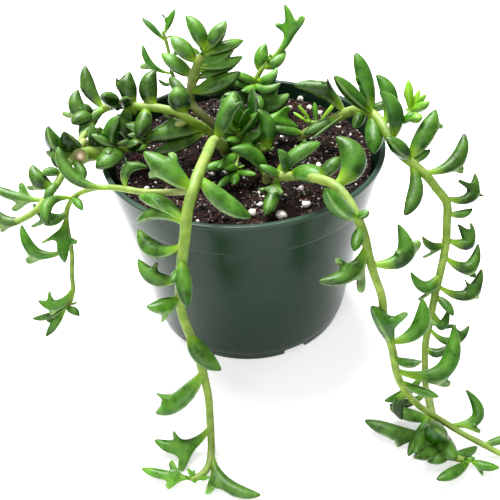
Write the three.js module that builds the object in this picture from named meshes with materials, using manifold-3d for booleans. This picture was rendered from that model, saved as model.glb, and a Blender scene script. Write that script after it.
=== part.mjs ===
// A potted string of dolphins: a thin plastic nursery pot, soil with grains of perlite, and eight leafy
// stems. The long stems arch over the rim, hang beside the pot and lie along the surface it stands on.
// Millimetres, +Z up. The origin is the centre of the pot's flat underside.
import * as THREE from "three";
import { mergeVertices } from "three/addons/utils/BufferGeometryUtils.js";
import Module from "manifold-3d";

const wasm = await Module();
wasm.setup();

// Driving dimensions of the pot
const potHeight = 79;
const potTopRadius = 54;
const potBaseRadius = 40.5;
const potWall = 1.3;
const bandHeight = 14;
const bandProud = 0.9;
const lipWidth = 2.0;
const lipHeight = 1.4;
const ringHeight = 4.6;
const ringStep = 0.5;
const stepRise = 0.6;
const footRound = 1;
const lipOverhang = 0.7;
const lipRound = 0.3;
const wallInset = 1.7;
const floorThickness = 2;
const potSides = 40;

// Drain slots, cut where the floor meets the wall
const slotCount = 6;
const slotWidth = 10;
const slotDepth = 6;
const slotHeight = 3.2;
const slotTurn = 25;

// Soil
const soilLevel = 73;
const soilGap = 0.35;
const soilBump = 0.9;
const soilShoulder = 1.5;
const soilRings = 5;
const soilSides = 30;
const grainCount = 18;
const grainSmallest = 0.9;
const grainLargest = 2.1;
const grainFlatness = 0.8;
const grainKeepClear = 5;

// Plant
const stemSides = 5;
const stemStep = 9;
const footGap = 0.3;
const holeRoom = 1.5;
const holeReach = 18;
const holeSides = 8;
const leafSides = 5;
const smallLeafSides = 4;
const smallLeaf = 3.5;
const leafFlatness = 0.86;
const finSweep = 0.35;

// Half widths of a leaf along its length, as shares of its widest, from its foot in the stem to its tip
const leafProfile = [
  [0.2, 0.62],
  [0.5, 0.98],
  [0.82, 0.8],
];

// Each stem has its route, its thickness at the foot and at the end, and its leaves.
// A leaf is [distance along the stem, heading, rise, length, width, sag, sway, fins]: degrees and
// millimetres, heading anticlockwise from +X, rise above the horizontal. Sag is how far its middle
// drops below the straight line to its tip, sway how far it moves to the right of that line.
// A fin is [share of the length, degrees clockwise from the top, reach from the midrib].
const trailFront = [
  {
    thick: [4.2, 2.6],
    route: [
      [-7, 2, 62], [-7, 1, 74], [-8, -14, 87], [-10, -26, 95], [-12, -42, 99], [-14, -51, 99],
      [-16, -58, 97], [-18, -62, 92], [-19, -65, 86], [-21, -66, 76], [-23, -66, 63], [-23, -67, 54],
      [-21, -69, 46], [-19, -70, 36], [-17, -74, 22], [-17, -76, 13], [-17, -81, 6], [-17, -86, 4],
      [-18, -91, 3], [-21, -95, 3], [-25, -96, 3],
    ],
    leaves: [
      [43, 50, 50, 18, 6, -1, 1, [[0.8, -90, 3.5], [0.75, 90, 3]]],
      [80, 150, 30, 19, 7, 0, 0, [[0.55, 60, 5], [0.6, -120, 4.5]]],
      [74, -30, -30, 21, 6.5, 1, 1, []],
      [91, 150, -15, 20, 5, -3, 2, []],
      [90, 140, 5, 20, 5, -1, 1, [[0.5, -45, 3.5]]],
      [97, 140, -10, 21, 5.5, 4, -3, []],
      [111, 160, 20, 15, 5, 3, -2, [[0.6, 45, 4.5]]],
      [106, -110, 0, 8, 3, 0, 0, []],
      [102, -85, -40, 16, 4.8, 0, 0.5, []],
      [119, -150, 10, 12, 5.5, 1, -1, [[0.5, -120, 5]]],
      [133, -45, -30, 17, 6, 2, 1, []],
      [151, -160, -35, 23, 7, 1, -2, [[0.75, 45, 6]]],
      [174, -175, -10, 21, 5, 3, -4, [[0.65, 45, 5.5], [0.45, -105, 8]]],
      [195, 165, 0, 20, 3.5, 0, -1, [[0.4, 45, 5], [0.4, -105, 4]]],
      [183, -45, -5, 24, 4.5, 1, 5, [[0.35, 90, 7]]],
    ],
  },
  {
    thick: [2.2, 1.6],
    route: [
      [-16, -58, 97], [-20, -55, 95], [-25, -52, 93], [-33, -48, 91], [-40, -44, 90], [-46, -40, 88],
      [-52, -36, 85], [-58, -33, 81], [-62, -31, 76], [-64, -32, 71], [-64, -34, 64], [-64, -36, 57],
      [-65, -39, 50], [-65, -42, 45], [-67, -44, 40], [-69, -45, 38],
    ],
    leaves: [
      [27, 30, 30, 10, 3.5, -3, -3, [[0.5, -45, 3]]],
      [34, 150, 30, 22, 4.5, 3, -4, []],
      [55, -60, 0, 9, 3, -1, 0, []],
      [55, -115, -5, 15, 4, -3, 4, []],
      [61, -140, -10, 10, 3, 1, -1, []],
      [63, 170, 20, 12, 3.5, 2, -2, [[0.5, -135, 6]]],
      [65, -90, -35, 16, 4, 0, 1, [[0.4, 75, 7], [0.45, -90, 5]]],
      [76, 160, 20, 20, 4, 5, -5, [[0.5, -135, 5]]],
      [91, -170, -15, 14, 4, 3, -3, [[0.7, 45, 5], [0.65, -135, 3]]],
      [98, -170, -15, 15, 3, 1, -1, []],
      [101, -140, -35, 12, 3.5, 0, 0, [[0.5, 60, 3]]],
      [100, -40, 0, 7, 3, -1, 0, []],
    ],
  },
];

const trailLeft = [
  {
    thick: [3.4, 2.8],
    route: [
      [-9, 7, 62], [-9, 6, 74], [-14, 1, 85], [-19, -3, 91], [-23, -2, 94], [-30, 0, 95], [-37, 2, 95],
      [-45, 6, 94], [-50, 7, 93], [-54, 7, 91], [-56, 3, 89], [-58, -3, 88], [-60, -9, 87],
    ],
    leaves: [
      [25, -165, 0, 23, 8.5, -1.5, 0.5, [[0.5, 20, 6.5]]],
      [24, -160, -10, 22, 5.5, 1, -1, []],
      [70, 120, 45, 18, 5, 1, -2, [[0.5, -100, 2]]],
      [65, -100, 40, 14, 6, -1, 0, []],
      [56, 100, 50, 13, 6, 0, -2, [[0.65, -90, 4]]],
      [48, 85, 50, 14, 6.5, 0, -3, []],
      [37, 110, 55, 11, 7.5, 0, 0, []],
      [74, 135, 40, 12, 6, 2, -4, [[0.4, -120, 6]]],
      [69, -145, -30, 15, 5.5, -1, 1, []],
      [75, -130, 10, 11, 6, -1, 1, []],
      [76, 165, 65, 7, 3.5, 0, 0, []],
      [78, -120, -10, 9, 4, 0, -1, []],
      [57, 130, -80, 11, 4, 0, 0, []],
      [61, -75, 40, 10, 4.5, 0, 0, []],
      [64, -90, 20, 6, 3.5, 0, 0, []],
      [52, -110, -35, 13, 6, 0, -1, []],
      [59, -120, -45, 11, 5, 0, 0, []],
    ],
  },
  {
    thick: [2.6, 6.2],
    route: [
      [-20, -3, 91], [-26, -2, 88], [-31, -2, 86], [-34, -3, 85], [-39, -4, 83], [-44, -6, 83],
      [-49, -8, 83], [-54, -9, 83], [-57, -12, 84], [-58, -18, 87],
    ],
    leaves: [
      [24, -60, 30, 9, 6, 0, 0, []],
      [22, 140, 60, 10, 5, 0, 0, []],
      [33, -75, 20, 8, 5, 0, 0, []],
      [38, 60, 50, 10, 5, 0, 0, []],
      [31, 10, 70, 14, 6.5, -2, -1, [[0.4, 0, 5]]],
      [28, -120, 0, 15, 7.5, 0, -1, []],
      [36, 115, 75, 10, 5, 0, 0, [[0.4, -90, 3]]],
      [14, -170, 30, 12, 6, 0, 0, [[0.35, 0, 5]]],
      [16, -145, 25, 10, 4.5, 0, 0, []],
      [16, -145, 10, 14, 3, 0, 0, []],
      [20, -85, 10, 9, 5, 0, 0, []],
      [22, 150, 60, 13, 6, 0, 0, []],
      [27, -165, 35, 13, 6, 0, 0, []],
      [33, 170, 15, 12, 5.5, 0, 0, []],
    ],
  },
  {
    thick: [3, 1.8],
    route: [
      [-58, -6, 87], [-61, -17, 86], [-64, -25, 84], [-66, -29, 82], [-69, -33, 80], [-72, -37, 78],
      [-77, -39, 76], [-82, -40, 75], [-88, -40, 74], [-96, -38, 72],
    ],
    leaves: [
      [31, 170, 15, 19, 4, 1, -1, [[0.4, -135, 5], [0.4, 45, 5]]],
      [39, 170, 15, 13, 4, 3, -2, [[0.45, -135, 4]]],
      [25, 145, 35, 11, 5.5, 1, -2, [[0.4, -135, 5]]],
      [7, -170, 55, 14, 6.5, 3, -1, []],
      [4, -110, 53, 13, 6, 2, 0, []],
      [10, -170, 20, 10, 4.5, 1, 0, []],
      [23, -115, -20, 9, 3.5, -1, 0, []],
      [20, -150, 20, 7, 4, -1, 1, []],
      [17, 130, 45, 8, 3.5, 1, -1, []],
      [49, -170, -10, 12, 3.5, 1, -1, [[0.6, -135, 2]]],
      [56, 155, 25, 11, 3.5, 1, -1, [[0.65, 45, 2]]],
      [12, -60, -25, 10, 3.5, 0, -1, []],
    ],
  },
];

const shootUpright = [
  {
    thick: [3.8, 2.8],
    route: [
      [-11, 17, 62], [-11, 16, 74], [-13, 12, 82], [-16, 10, 87], [-19, 12, 90], [-19, 13, 95],
      [-17, 14, 101], [-15, 12, 107], [-12, 12, 111],
    ],
    leaves: [
      [55, 125, 45, 15, 6, -1, 1, []],
      [50, 145, 35, 14, 7, 0, 0, []],
      [43, 155, 30, 15, 6.5, 0, 0, []],
      [45, 15, 25, 18, 7, 0, 0, []],
      [56, 25, 45, 13, 6.5, 0, 0, []],
      [37, 0, 20, 21, 7.5, 1, 1, [[0.4, -30, 4]]],
      [48, 10, 5, 18, 5, 1, 1, []],
      [42, 15, 10, 18, 4.5, 0, 0, []],
      [54, 25, 5, 17, 5.5, 0, 0, []],
      [35, 125, 15, 14, 4.5, 0, -1, []],
    ],
  },
];

const shootThin = [
  {
    thick: [1.8, 1.4],
    route: [
      [-24, 36, 62], [-24, 37, 74], [-26, 39, 84], [-28, 39, 91], [-28, 40, 97], [-29, 42, 103],
      [-30, 44, 107],
    ],
    leaves: [
      [42, 145, 35, 14, 3, 0, 0, []],
      [45, 45, 50, 11, 3, 0, 0, [[0.5, -60, 4]]],
      [29, 145, 35, 17, 3, 2, -3, [[0.55, -135, 4]]],
      [26, 175, 5, 7, 2, 2, -1, []],
      [35, 60, 25, 10, 2.5, 0, 1, []],
    ],
  },
];

const shootBack = [
  {
    thick: [2.8, 2],
    route: [
      [4, 30, 62], [4, 31, 74], [5, 33, 80], [6, 34, 86], [9, 36, 91], [13, 39, 95],
    ],
    leaves: [
      [36, 55, 55, 23, 4, 2.5, 5, [[0.68, -85, 6], [0.68, 90, 6]]],
      [30, 65, 50, 12, 5.5, 0, -1, []],
      [32, 25, 25, 12, 5.5, 1, 1, []],
      [27, -175, 25, 10, 5, 1, -1, []],
      [27, -5, 30, 10, 5, 2, 2, []],
      [25, -25, 10, 12, 5, 2, 2, []],
      [25, -125, 5, 10, 4.5, 1, -1, []],
      [19, -5, 20, 11, 6, 2, 2, []],
      [22, -175, 25, 11, 5.5, -1, 0, []],
      [18, -165, 20, 13, 5.5, 0, 0, []],
      [20, -75, -5, 12, 5, -1, 0, []],
      [15, -5, 20, 17, 8, 2, 1, [[0.4, -30, 4]]],
    ],
  },
];

const crown = [
  {
    thick: [3, 2.4],
    route: [
      [-1, 2, 62], [-1, 1, 74], [-1, 0, 80], [-1, 0, 86],
    ],
    leaves: [
      [21, 140, 5, 10, 5, 0, 0, []],
      [20, 65, 35, 12, 3, 1, 2, []],
      [22, 85, 50, 10, 3, 0, -1, []],
      [22, 125, 30, 13, 4.5, 0, -1, []],
      [19, 20, 20, 11, 4.5, 2, 2, []],
      [23, 170, 85, 11, 3, 0, 0, []],
      [23, 40, 80, 11, 3, 0, 0, []],
      [22, 20, 60, 9, 4, 0, 0, []],
      [22, 25, 70, 17, 5, 2, 1, []],
      [17, -60, 15, 9, 4, 0, 0, []],
      [18, -120, 25, 10, 4.5, 0, 0, []],
      [24, -100, 70, 11, 4.5, 0, 0, []],
      [20, -20, 55, 13, 5, 0, 0, []],
      [18, 60, 40, 13, 5.5, 0, 0, []],
      [16, -30, 35, 11, 5.5, 0, 0, []],
      [21, -160, 50, 11, 4.5, 0, 0, []],
      [14, 150, 30, 10, 5, 0, 0, []],
      [23, -50, 60, 12, 4, 0, 0, []],
      [22, 100, 70, 15, 4, 0, 0, []],
      [15, 95, 20, 13, 5, 0, 0, []],
    ],
  },
  {
    thick: [2.2, 1.8],
    route: [
      [-1, 1, 77], [-2, -6, 78], [-3, -12, 77], [-3, -18, 77],
    ],
    leaves: [
      [13, -160, 5, 13, 4.5, 0, 0, []],
      [7, -120, 5, 15, 4.5, 0, 0, []],
      [19, -35, 10, 9, 3, 0, 0, []],
      [19, -125, 0, 12, 3, 0, 0, []],
      [19, -95, 5, 10, 3, 0, 0, []],
      [15, -110, 25, 11, 3.5, 0, 0, []],
      [9, 0, 15, 6, 3, 0, 0, []],
    ],
  },
  {
    thick: [2.4, 2],
    route: [
      [-1, 1, 76], [4, -2, 77], [8, -4, 77], [10, -5, 79],
    ],
    leaves: [
      [11, 110, 55, 16, 5.5, -1, 3, []],
      [10, 30, 15, 17, 5, -5, -7, [[0.7, -30, 6]]],
      [10, 145, 50, 11, 3, 1, -1, []],
    ],
  },
];

const trailRight = [
  {
    thick: [4, 2.2],
    route: [
      [24, 11, 62], [24, 10, 74], [30, 6, 80], [37, 3, 86], [42, 0, 90], [46, -5, 92], [49, -11, 92],
      [51, -18, 90], [54, -24, 86], [59, -28, 83], [64, -31, 79], [67, -32, 75], [71, -34, 70],
      [71, -37, 64], [71, -40, 56], [69, -45, 48], [67, -49, 40], [65, -54, 32], [63, -59, 24],
      [63, -63, 16], [63, -67, 10], [64, -72, 6], [64, -77, 4],
    ],
    leaves: [
      [48, 110, 50, 23, 6, 0, 1, [[0.55, -90, 2]]],
      [49, 170, 45, 21, 6, 0, 0, []],
      [56, 95, 45, 19, 5.5, 0, 4, []],
      [63, 125, 65, 18, 6, -2, 3, []],
      [72, 45, 42, 20, 6.5, 0, 1, [[0.7, 120, 4]]],
      [73, 170, 45, 13, 6, -1, 0, []],
      [74, 25, 25, 8, 3.2, 0, 0, []],
      [46, -10, 20, 9, 4, -1, 0, []],
      [73, -105, -35, 20, 5, 1, -3, []],
      [79, 30, 30, 20, 5, 3, 4, [[0.45, 135, 4]]],
      [91, 25, 25, 14, 4, 4, 4, [[0.6, 135, 4], [0.7, -45, 7]]],
      [97, 5, 5, 9, 3.5, 1, 1, []],
      [107, 40, 35, 7, 4.5, 4, 6, [[0.7, 105, 4]]],
      [108, 170, 15, 9, 3.5, 2, -2, [[0.4, -135, 5]]],
      [113, 10, 15, 13, 4.5, 5, 5, [[0.45, 135, 4]]],
      [119, 180, 5, 11, 4.5, 4, -4, [[0.4, -135, 5]]],
      [124, 10, 15, 17, 4.5, 5, 5, [[0.65, -45, 5], [0.6, 135, 3]]],
      [128, -60, -15, 10, 3.5, 0, -1, []],
      [133, 0, 0, 6, 3.5, 5, 4, [[0.4, 135, 6]]],
      [140, 0, 0, 15, 3.5, 4, 4, [[0.7, -45, 5]]],
      [147, -15, 15, 8, 3.5, 2, 2, []],
      [14, -180, 15, 15, 5, 0, 0, []],
      [31, -160, -15, 15, 5, 0, 0, []],
      [35, -150, -20, 18, 1.2, 0, 0, []],
      [34, 160, 25, 22, 6.5, -3, 2, [[0.45, 0, 5]]],
      [41, -110, -15, 10, 4, 0, -1, []],
      [47, -95, -25, 18, 6, 0, -1, [[0.4, -80, 4]]],
      [157, -165, -35, 19, 3.5, 1, -2, []],
    ],
  },
  {
    thick: [2, 1.4],
    route: [
      [50, -16, 91], [54, -18, 92], [58, -15, 94], [61, -10, 95],
    ],
    leaves: [
      [14, 95, 60, 11, 3, 0, 0, []],
      [14, -40, 40, 9, 4, 0, 0, []],
      [16, -30, 55, 8, 2.5, 0, 0, []],
      [16, 125, 50, 7, 2, 0, 0, []],
      [16, 40, 60, 7, 2, 0, 0, []],
      [11, -65, 20, 8, 4.5, 0, 0, []],
      [7, -10, 50, 6, 3.5, 0, 0, []],
    ],
  },
  {
    thick: [1.8, 1.4],
    route: [
      [33, 5, 82], [29, 8, 81], [25, 11, 80],
    ],
    leaves: [
      [7, 160, 50, 9, 1.6, 0, 0, []],
      [5, 95, 55, 8, 1.8, 0, 0, []],
      [4, 20, 45, 11, 2, 0, 0, []],
      [9, 150, 25, 7, 1.5, 0, 0, []],
    ],
  },
  {
    thick: [3, 2.6],
    route: [
      [63, -67, 10], [64, -72, 6], [64, -77, 4], [65, -82, 3], [65, -88, 3], [68, -93, 3], [73, -94, 3],
    ],
    leaves: [
      [19, 164, 4, 27, 5.5, 0.3, -2, [[0.5, -110, 4]]],
      [9, -125, -5, 21, 3.5, 0, 0, []],
      [14, -125, 15, 20, 3.5, -1, 1, []],
      [19, -135, 60, 16, 8.5, 0, 0, []],
      [22, -180, 35, 10, 4.5, 1, -2, []],
      [26, -155, 5, 9, 4.5, -1, -1, []],
      [36, -150, 5, 16, 4, 0, -1, []],
      [14, -80, 8, 17, 7.5, 1, 1, []],
      [20, -140, 18, 17, 4.5, 0, -2, []],
      [36, -25, 5, 10, 3.5, 0, 1, [[0.4, 120, 3]]],
      [2, -180, -25, 15, 3.5, 1, -1, []],
      [12, 163, 8, 16, 5, 0.5, -0.5, []],
      [27, -5, 30, 10, 3.5, 2, 0, []],
    ],
  },
];

const trailNearRight = [
  {
    thick: [3.4, 2],
    route: [
      [8, -19, 62], [8, -19, 75], [10, -26, 81], [13, -33, 84], [17, -39, 88], [22, -45, 91],
      [26, -49, 92], [29, -53, 92], [32, -58, 90], [34, -63, 87], [36, -65, 82], [37, -68, 77],
      [39, -70, 70], [42, -71, 61], [43, -73, 52], [46, -76, 42], [48, -78, 32], [52, -78, 22],
      [58, -79, 14], [65, -82, 10], [72, -86, 7], [78, -89, 5], [84, -92, 3], [91, -95, 3],
      [98, -96, 3], [106, -97, 3],
    ],
    leaves: [
      [11, 170, 45, 18, 6.5, -3, 3, []],
      [26, 20, 25, 19, 6, -1, -1, [[0.7, -45, 2]]],
      [33, 135, 70, 10, 4, -1, 1, []],
      [35, -45, 15, 17, 7, -2, -1, []],
      [31, 165, 25, 9, 3.5, 0, 0, []],
      [50, 30, 30, 10, 5, 0, 0, []],
      [28, -110, -20, 17, 4.8, 1, 0, [[0.4, 60, 5], [0.4, -60, 4]]],
      [57, 85, 40, 16, 7.5, 0, 6, []],
      [71, -175, 50, 17, 6.5, 1, 0, []],
      [73, -110, -15, 10, 3.5, 0, 0, []],
      [70, -35, 40, 5, 3, 0, 0, []],
      [79, -155, -25, 19, 5, 3, -3, [[0.5, 45, 6], [0.4, -135, 7]]],
      [86, 40, 40, 15, 5, 4, 6, [[0.5, -60, 3.5], [0.65, 120, 4.5]]],
      [119, 165, 65, 19, 6, -1, 1, [[0.5, 0, 8.5]]],
      [117, 40, 35, 18, 5, 3, 4, [[0.6, 120, 4.5]]],
      [123, -35, 20, 10, 3.5, 1, 1, []],
      [129, 25, 25, 25, 5.5, 7, 7, [[0.4, 135, 6]]],
      [134, -30, -5, 14, 3.5, 1, 0, []],
      [163, 50, 45, 14, 4, 4, 7, [[0.2, 45, 5]]],
      [141, -105, -65, 11, 3.5, 0, 2, []],
      [176, 5, 20, 10, 3, 1, 0, []],
      [183, 25, 25, 11, 3, 1, 1, [[0.65, 135, 4]]],
      [191, -30, 0, 11, 3, 0, 1, [[0.5, 105, 3]]],
      [198, 10, 25, 12, 3, 2, -1, [[0.5, -15, 4]]],
      [204, 0, 5, 12, 3, 0, 1, []],
    ],
  },
];

const radians = THREE.MathUtils.degToRad;

// A closed solid from a geometry: shared corners merged, faces that collapsed to a line dropped.
function solidOf(geometry) {
  const bare = geometry.clone();
  bare.deleteAttribute("normal");
  bare.deleteAttribute("uv");
  const merged = mergeVertices(bare, 1e-3);
  const corners = merged.index.array;
  const kept = [];
  for (let i = 0; i < corners.length; i += 3) {
    const [a, b, c] = [corners[i], corners[i + 1], corners[i + 2]];
    if (a !== b && b !== c && c !== a) kept.push(a, b, c);
  }
  const vertProperties = merged.attributes.position.array;
  return new wasm.Manifold(new wasm.Mesh({ numProp: 3, vertProperties, triVerts: new Uint32Array(kept) }));
}

// A geometry from a solid, for its mesh.
function geometryOf(solid) {
  const mesh = solid.getMesh();
  const geometry = new THREE.BufferGeometry();
  geometry.setAttribute("position", new THREE.BufferAttribute(mesh.vertProperties, 3));
  geometry.setIndex(new THREE.BufferAttribute(mesh.triVerts, 1));
  const flat = geometry.toNonIndexed();
  flat.computeVertexNormals();
  return flat;
}

function vector([x, y, z]) {
  return new THREE.Vector3(x, y, z);
}

function curveThrough(route) {
  return new THREE.CatmullRomCurve3(route.map(vector), false, "catmullrom", 0.5);
}

// A stem: a flat-sided rod along its route that thins evenly from foot to end.
function stemGeometry(curve, thickFoot, thickEnd) {
  const section = new THREE.Shape();
  for (let i = 0; i < stemSides; i += 1) {
    const turn = (i / stemSides) * 2 * Math.PI;
    section.lineTo((Math.cos(turn) * thickFoot) / 2, (Math.sin(turn) * thickFoot) / 2);
  }
  section.closePath();
  const steps = Math.max(2, Math.round(curve.getLength() / stemStep));
  const rod = new THREE.ExtrudeGeometry(section, { extrudePath: curve, steps, curveSegments: 1 });
  const spine = curve.getSpacedPoints(steps);
  const corner = new THREE.Vector3();
  const place = rod.attributes.position;
  for (let i = 0; i < place.count; i += 1) {
    corner.fromBufferAttribute(place, i);
    const gaps = spine.map((point) => point.distanceToSquared(corner));
    const nearest = gaps.indexOf(Math.min(...gaps));
    const share = THREE.MathUtils.lerp(1, thickEnd / thickFoot, nearest / steps);
    corner.sub(spine[nearest]).multiplyScalar(share).add(spine[nearest]);
    place.setXYZ(i, corner.x, corner.y, corner.z);
  }
  return rod;
}

// A leaf: a pointed, fattened spindle with its fins pulled out of its side, bent along its midrib.
function leafGeometry(root, [, heading, rise, length, width, sag, sway, fins]) {
  const sides = width <= smallLeaf ? smallLeafSides : leafSides;
  const levels = leafProfile.map(([along]) => along);
  const outline = [new THREE.Vector2(0, 0)];
  leafProfile.forEach(([along, share]) => outline.push(new THREE.Vector2((share * width) / 2, along)));
  outline.push(new THREE.Vector2(0, 1));
  const firstTurn = fins.length ? fins[0][1] : 0;
  const blank = new THREE.LatheGeometry(outline, sides, radians(firstTurn));

  const [h, r] = [radians(heading), radians(rise)];
  const ahead = new THREE.Vector3(Math.cos(r) * Math.cos(h), Math.cos(r) * Math.sin(h), Math.sin(r));
  const top = new THREE.Vector3(-Math.sin(r) * Math.cos(h), -Math.sin(r) * Math.sin(h), Math.cos(r));
  const right = new THREE.Vector3(Math.sin(h), -Math.cos(h), 0);
  const tip = root.clone().addScaledVector(ahead, length);
  const bend = root.clone().lerp(tip, 0.5).addScaledVector(top, -2 * sag).addScaledVector(right, 2 * sway);
  const midrib = new THREE.QuadraticBezierCurve3(root, bend, tip);

  const columnOf = (turn) => {
    const columns = Math.round((turn - firstTurn) / (360 / sides));
    return THREE.MathUtils.euclideanModulo(columns, sides);
  };
  const finSpots = fins.map(([along, turn, reach]) => {
    const gaps = levels.map((level) => Math.abs(level - along));
    return { level: levels[gaps.indexOf(Math.min(...gaps))], column: columnOf(turn), reach };
  });
  const place = blank.attributes.position;
  for (let i = 0; i < place.count; i += 1) {
    const [x, along, z] = [place.getX(i), place.getY(i), place.getZ(i)];
    const turn = Math.atan2(x, z);
    const isFin = ({ level, column }) => (
      Math.abs(along - level) < 1e-4 && column === columnOf(THREE.MathUtils.radToDeg(turn))
    );
    const fin = finSpots.find(isFin);
    const reach = fin ? fin.reach : Math.hypot(x, z);
    const station = fin ? Math.min(0.95, along + (finSweep * fin.reach) / length) : along;
    const spot = midrib.getPoint(station);
    const forward = midrib.getTangent(station);
    const up = top.clone().addScaledVector(forward, -top.dot(forward)).normalize();
    const side = new THREE.Vector3().crossVectors(forward, up);
    spot.addScaledVector(up, Math.cos(turn) * reach * (fin ? 1 : leafFlatness));
    spot.addScaledVector(side, Math.sin(turn) * reach);
    place.setXYZ(i, spot.x, spot.y, spot.z);
  }
  return blank;
}

// All branches of a stem with their leaves, joined in one solid. A pinhole that the joins close is filled.
function plantSolid(branches) {
  const pieces = [];
  branches.forEach(({ thick, route, leaves }) => {
    const curve = curveThrough(route);
    const length = curve.getLength();
    pieces.push(solidOf(stemGeometry(curve, thick[0], thick[1])));
    leaves.forEach((leaf) => {
      const root = curve.getPointAt(Math.min(leaf[0] / length, 1));
      pieces.push(solidOf(leafGeometry(root, leaf)));
    });
  });
  const joined = pieces.reduce((whole, piece) => whole.add(piece));
  return joined.decompose().sort((a, b) => b.volume() - a.volume())[0];
}

// The plain hole that a stem's foot stands in.
function footHole({ thick, route }) {
  const [x, y, z] = route[0];
  const radius = thick[0] / 2 + holeRoom;
  const hole = new THREE.CylinderGeometry(radius, radius, holeReach, holeSides);
  hole.rotateX(Math.PI / 2).translate(x, y, z - footGap + holeReach / 2);
  return solidOf(hole);
}

function lathe(outline, sides) {
  const turned = new THREE.LatheGeometry(
    outline.map(([radius, height]) => new THREE.Vector2(radius, height)),
    sides,
  );
  return turned.rotateX(Math.PI / 2);
}

// Outer radius of the plain wall at a height.
function wallRadius(height) {
  return THREE.MathUtils.lerp(potBaseRadius, potTopRadius - wallInset, height / potHeight);
}

function potGeometry() {
  const bandFoot = potHeight - bandHeight;
  const inside = (height) => wallRadius(height) - potWall;
  const outline = [
    [0, 0],
    [potBaseRadius - footRound, 0],
    [potBaseRadius, footRound],
    [wallRadius(ringHeight), ringHeight],
    [wallRadius(ringHeight) + ringStep, ringHeight + stepRise],
    [wallRadius(bandFoot), bandFoot - stepRise],
    [wallRadius(bandFoot) + bandProud, bandFoot],
    [potTopRadius - lipOverhang, potHeight - lipHeight - stepRise],
    [potTopRadius, potHeight - lipHeight],
    [potTopRadius, potHeight - lipRound],
    [potTopRadius - lipRound, potHeight],
    [potTopRadius - lipWidth, potHeight],
    [inside(bandFoot) + stepRise, bandFoot],
    [inside(floorThickness), floorThickness],
    [0, floorThickness],
  ];
  const body = solidOf(lathe(outline, potSides));
  const slots = Array.from({ length: slotCount }, (_, n) => {
    const slot = new THREE.BoxGeometry(slotDepth, slotWidth, 2 * slotHeight);
    slot.translate(potBaseRadius, 0, 0);
    slot.rotateZ(radians(slotTurn - 90 + (360 / slotCount) * n));
    return solidOf(slot);
  });
  return geometryOf(slots.reduce((pot, slot) => pot.subtract(slot), body));
}

// Height of the loose soil above its mean level: slow swells with smaller crumbs on them.
function soilRelief(x, y) {
  const swell = Math.sin(x * 0.13 + 1.1) * Math.cos(y * 0.11 - 0.6);
  const crumb = Math.sin(x * 0.47 + y * 0.21) * Math.sin(y * 0.43 - x * 0.17 + 2.0);
  return soilBump * (0.6 * swell + 0.4 * crumb);
}

function soilGeometry(stems) {
  const wall = (height) => wallRadius(height) - potWall - soilGap;
  const foot = floorThickness + soilGap;
  const outline = [[0, foot], [wall(foot), foot], [wall(soilLevel - 1), soilLevel - soilShoulder]];
  for (let n = 0; n < soilRings; n += 1) {
    outline.push([(wall(soilLevel) - soilShoulder / 2) * (1 - n / soilRings), soilLevel]);
  }
  outline.push([0, soilLevel]);
  const body = lathe(outline, soilSides);
  const place = body.attributes.position;
  for (let i = 0; i < place.count; i += 1) {
    if (place.getZ(i) > soilLevel - soilShoulder / 2) {
      place.setZ(i, soilLevel + soilRelief(place.getX(i), place.getY(i)));
    }
  }
  const feet = stems.map((branches) => branches[0]);
  const grains = grainPlaces(feet).map(({ x, y, size }) => {
    const grain = new THREE.OctahedronGeometry(size, 0);
    grain.rotateZ(x + y).scale(1, 1, grainFlatness);
    grain.translate(x, y, soilLevel + soilRelief(x, y) + size / 5);
    return solidOf(grain);
  });
  const heaped = grains.reduce((soil, grain) => soil.add(grain), solidOf(body));
  const holed = feet.map(footHole).reduce((soil, hole) => soil.subtract(hole), heaped);
  return geometryOf(holed);
}

// A repeatable stream of numbers between 0 and 1.
function seededRandom(seed) {
  let state = seed;
  return () => {
    state = (state * 1664525 + 1013904223) % 4294967296;
    return state / 4294967296;
  };
}

// Perlite grains, scattered evenly over the soil but not against the stems.
function grainPlaces(feet) {
  const random = seededRandom(7);
  const places = [];
  while (places.length < grainCount) {
    const radius = Math.sqrt(random()) * (potTopRadius - 2 * grainKeepClear);
    const turn = random() * 2 * Math.PI;
    const size = THREE.MathUtils.lerp(grainSmallest, grainLargest, random() ** 2);
    const [x, y] = [radius * Math.cos(turn), radius * Math.sin(turn)];
    const gapTo = (otherX, otherY) => Math.hypot(otherX - x, otherY - y);
    const clearOfFeet = feet.every(({ route }) => gapTo(route[0][0], route[0][1]) > grainKeepClear);
    const clearOfGrains = places.every((other) => gapTo(other.x, other.y) > other.size + size + 1);
    if (clearOfFeet && clearOfGrains) places.push({ x, y, size });
  }
  return places;
}

const materials = {
  pot: new THREE.MeshStandardMaterial({ color: 0x33453a, roughness: 0.3, metalness: 0 }),
  soil: new THREE.MeshStandardMaterial({ color: 0x2c1d16, roughness: 0.95, metalness: 0 }),
  leaf: new THREE.MeshStandardMaterial({ color: 0x3f7d2e, roughness: 0.42, metalness: 0 }),
};

function meshOf(name, geometry, material) {
  const mesh = new THREE.Mesh(geometry, material);
  mesh.name = name;
  return mesh;
}

const stems = {
  trail_front: trailFront,
  trail_left: trailLeft,
  trail_right: trailRight,
  trail_near_right: trailNearRight,
  shoot_upright: shootUpright,
  shoot_thin: shootThin,
  shoot_back: shootBack,
  crown,
};

const plant = new THREE.Group();
plant.add(meshOf("pot", potGeometry(), materials.pot));
plant.add(meshOf("soil", soilGeometry(Object.values(stems)), materials.soil));
Object.entries(stems).forEach(([name, branches]) => {
  plant.add(meshOf(name, geometryOf(plantSolid(branches)), materials.leaf));
});

export default plant;
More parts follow.
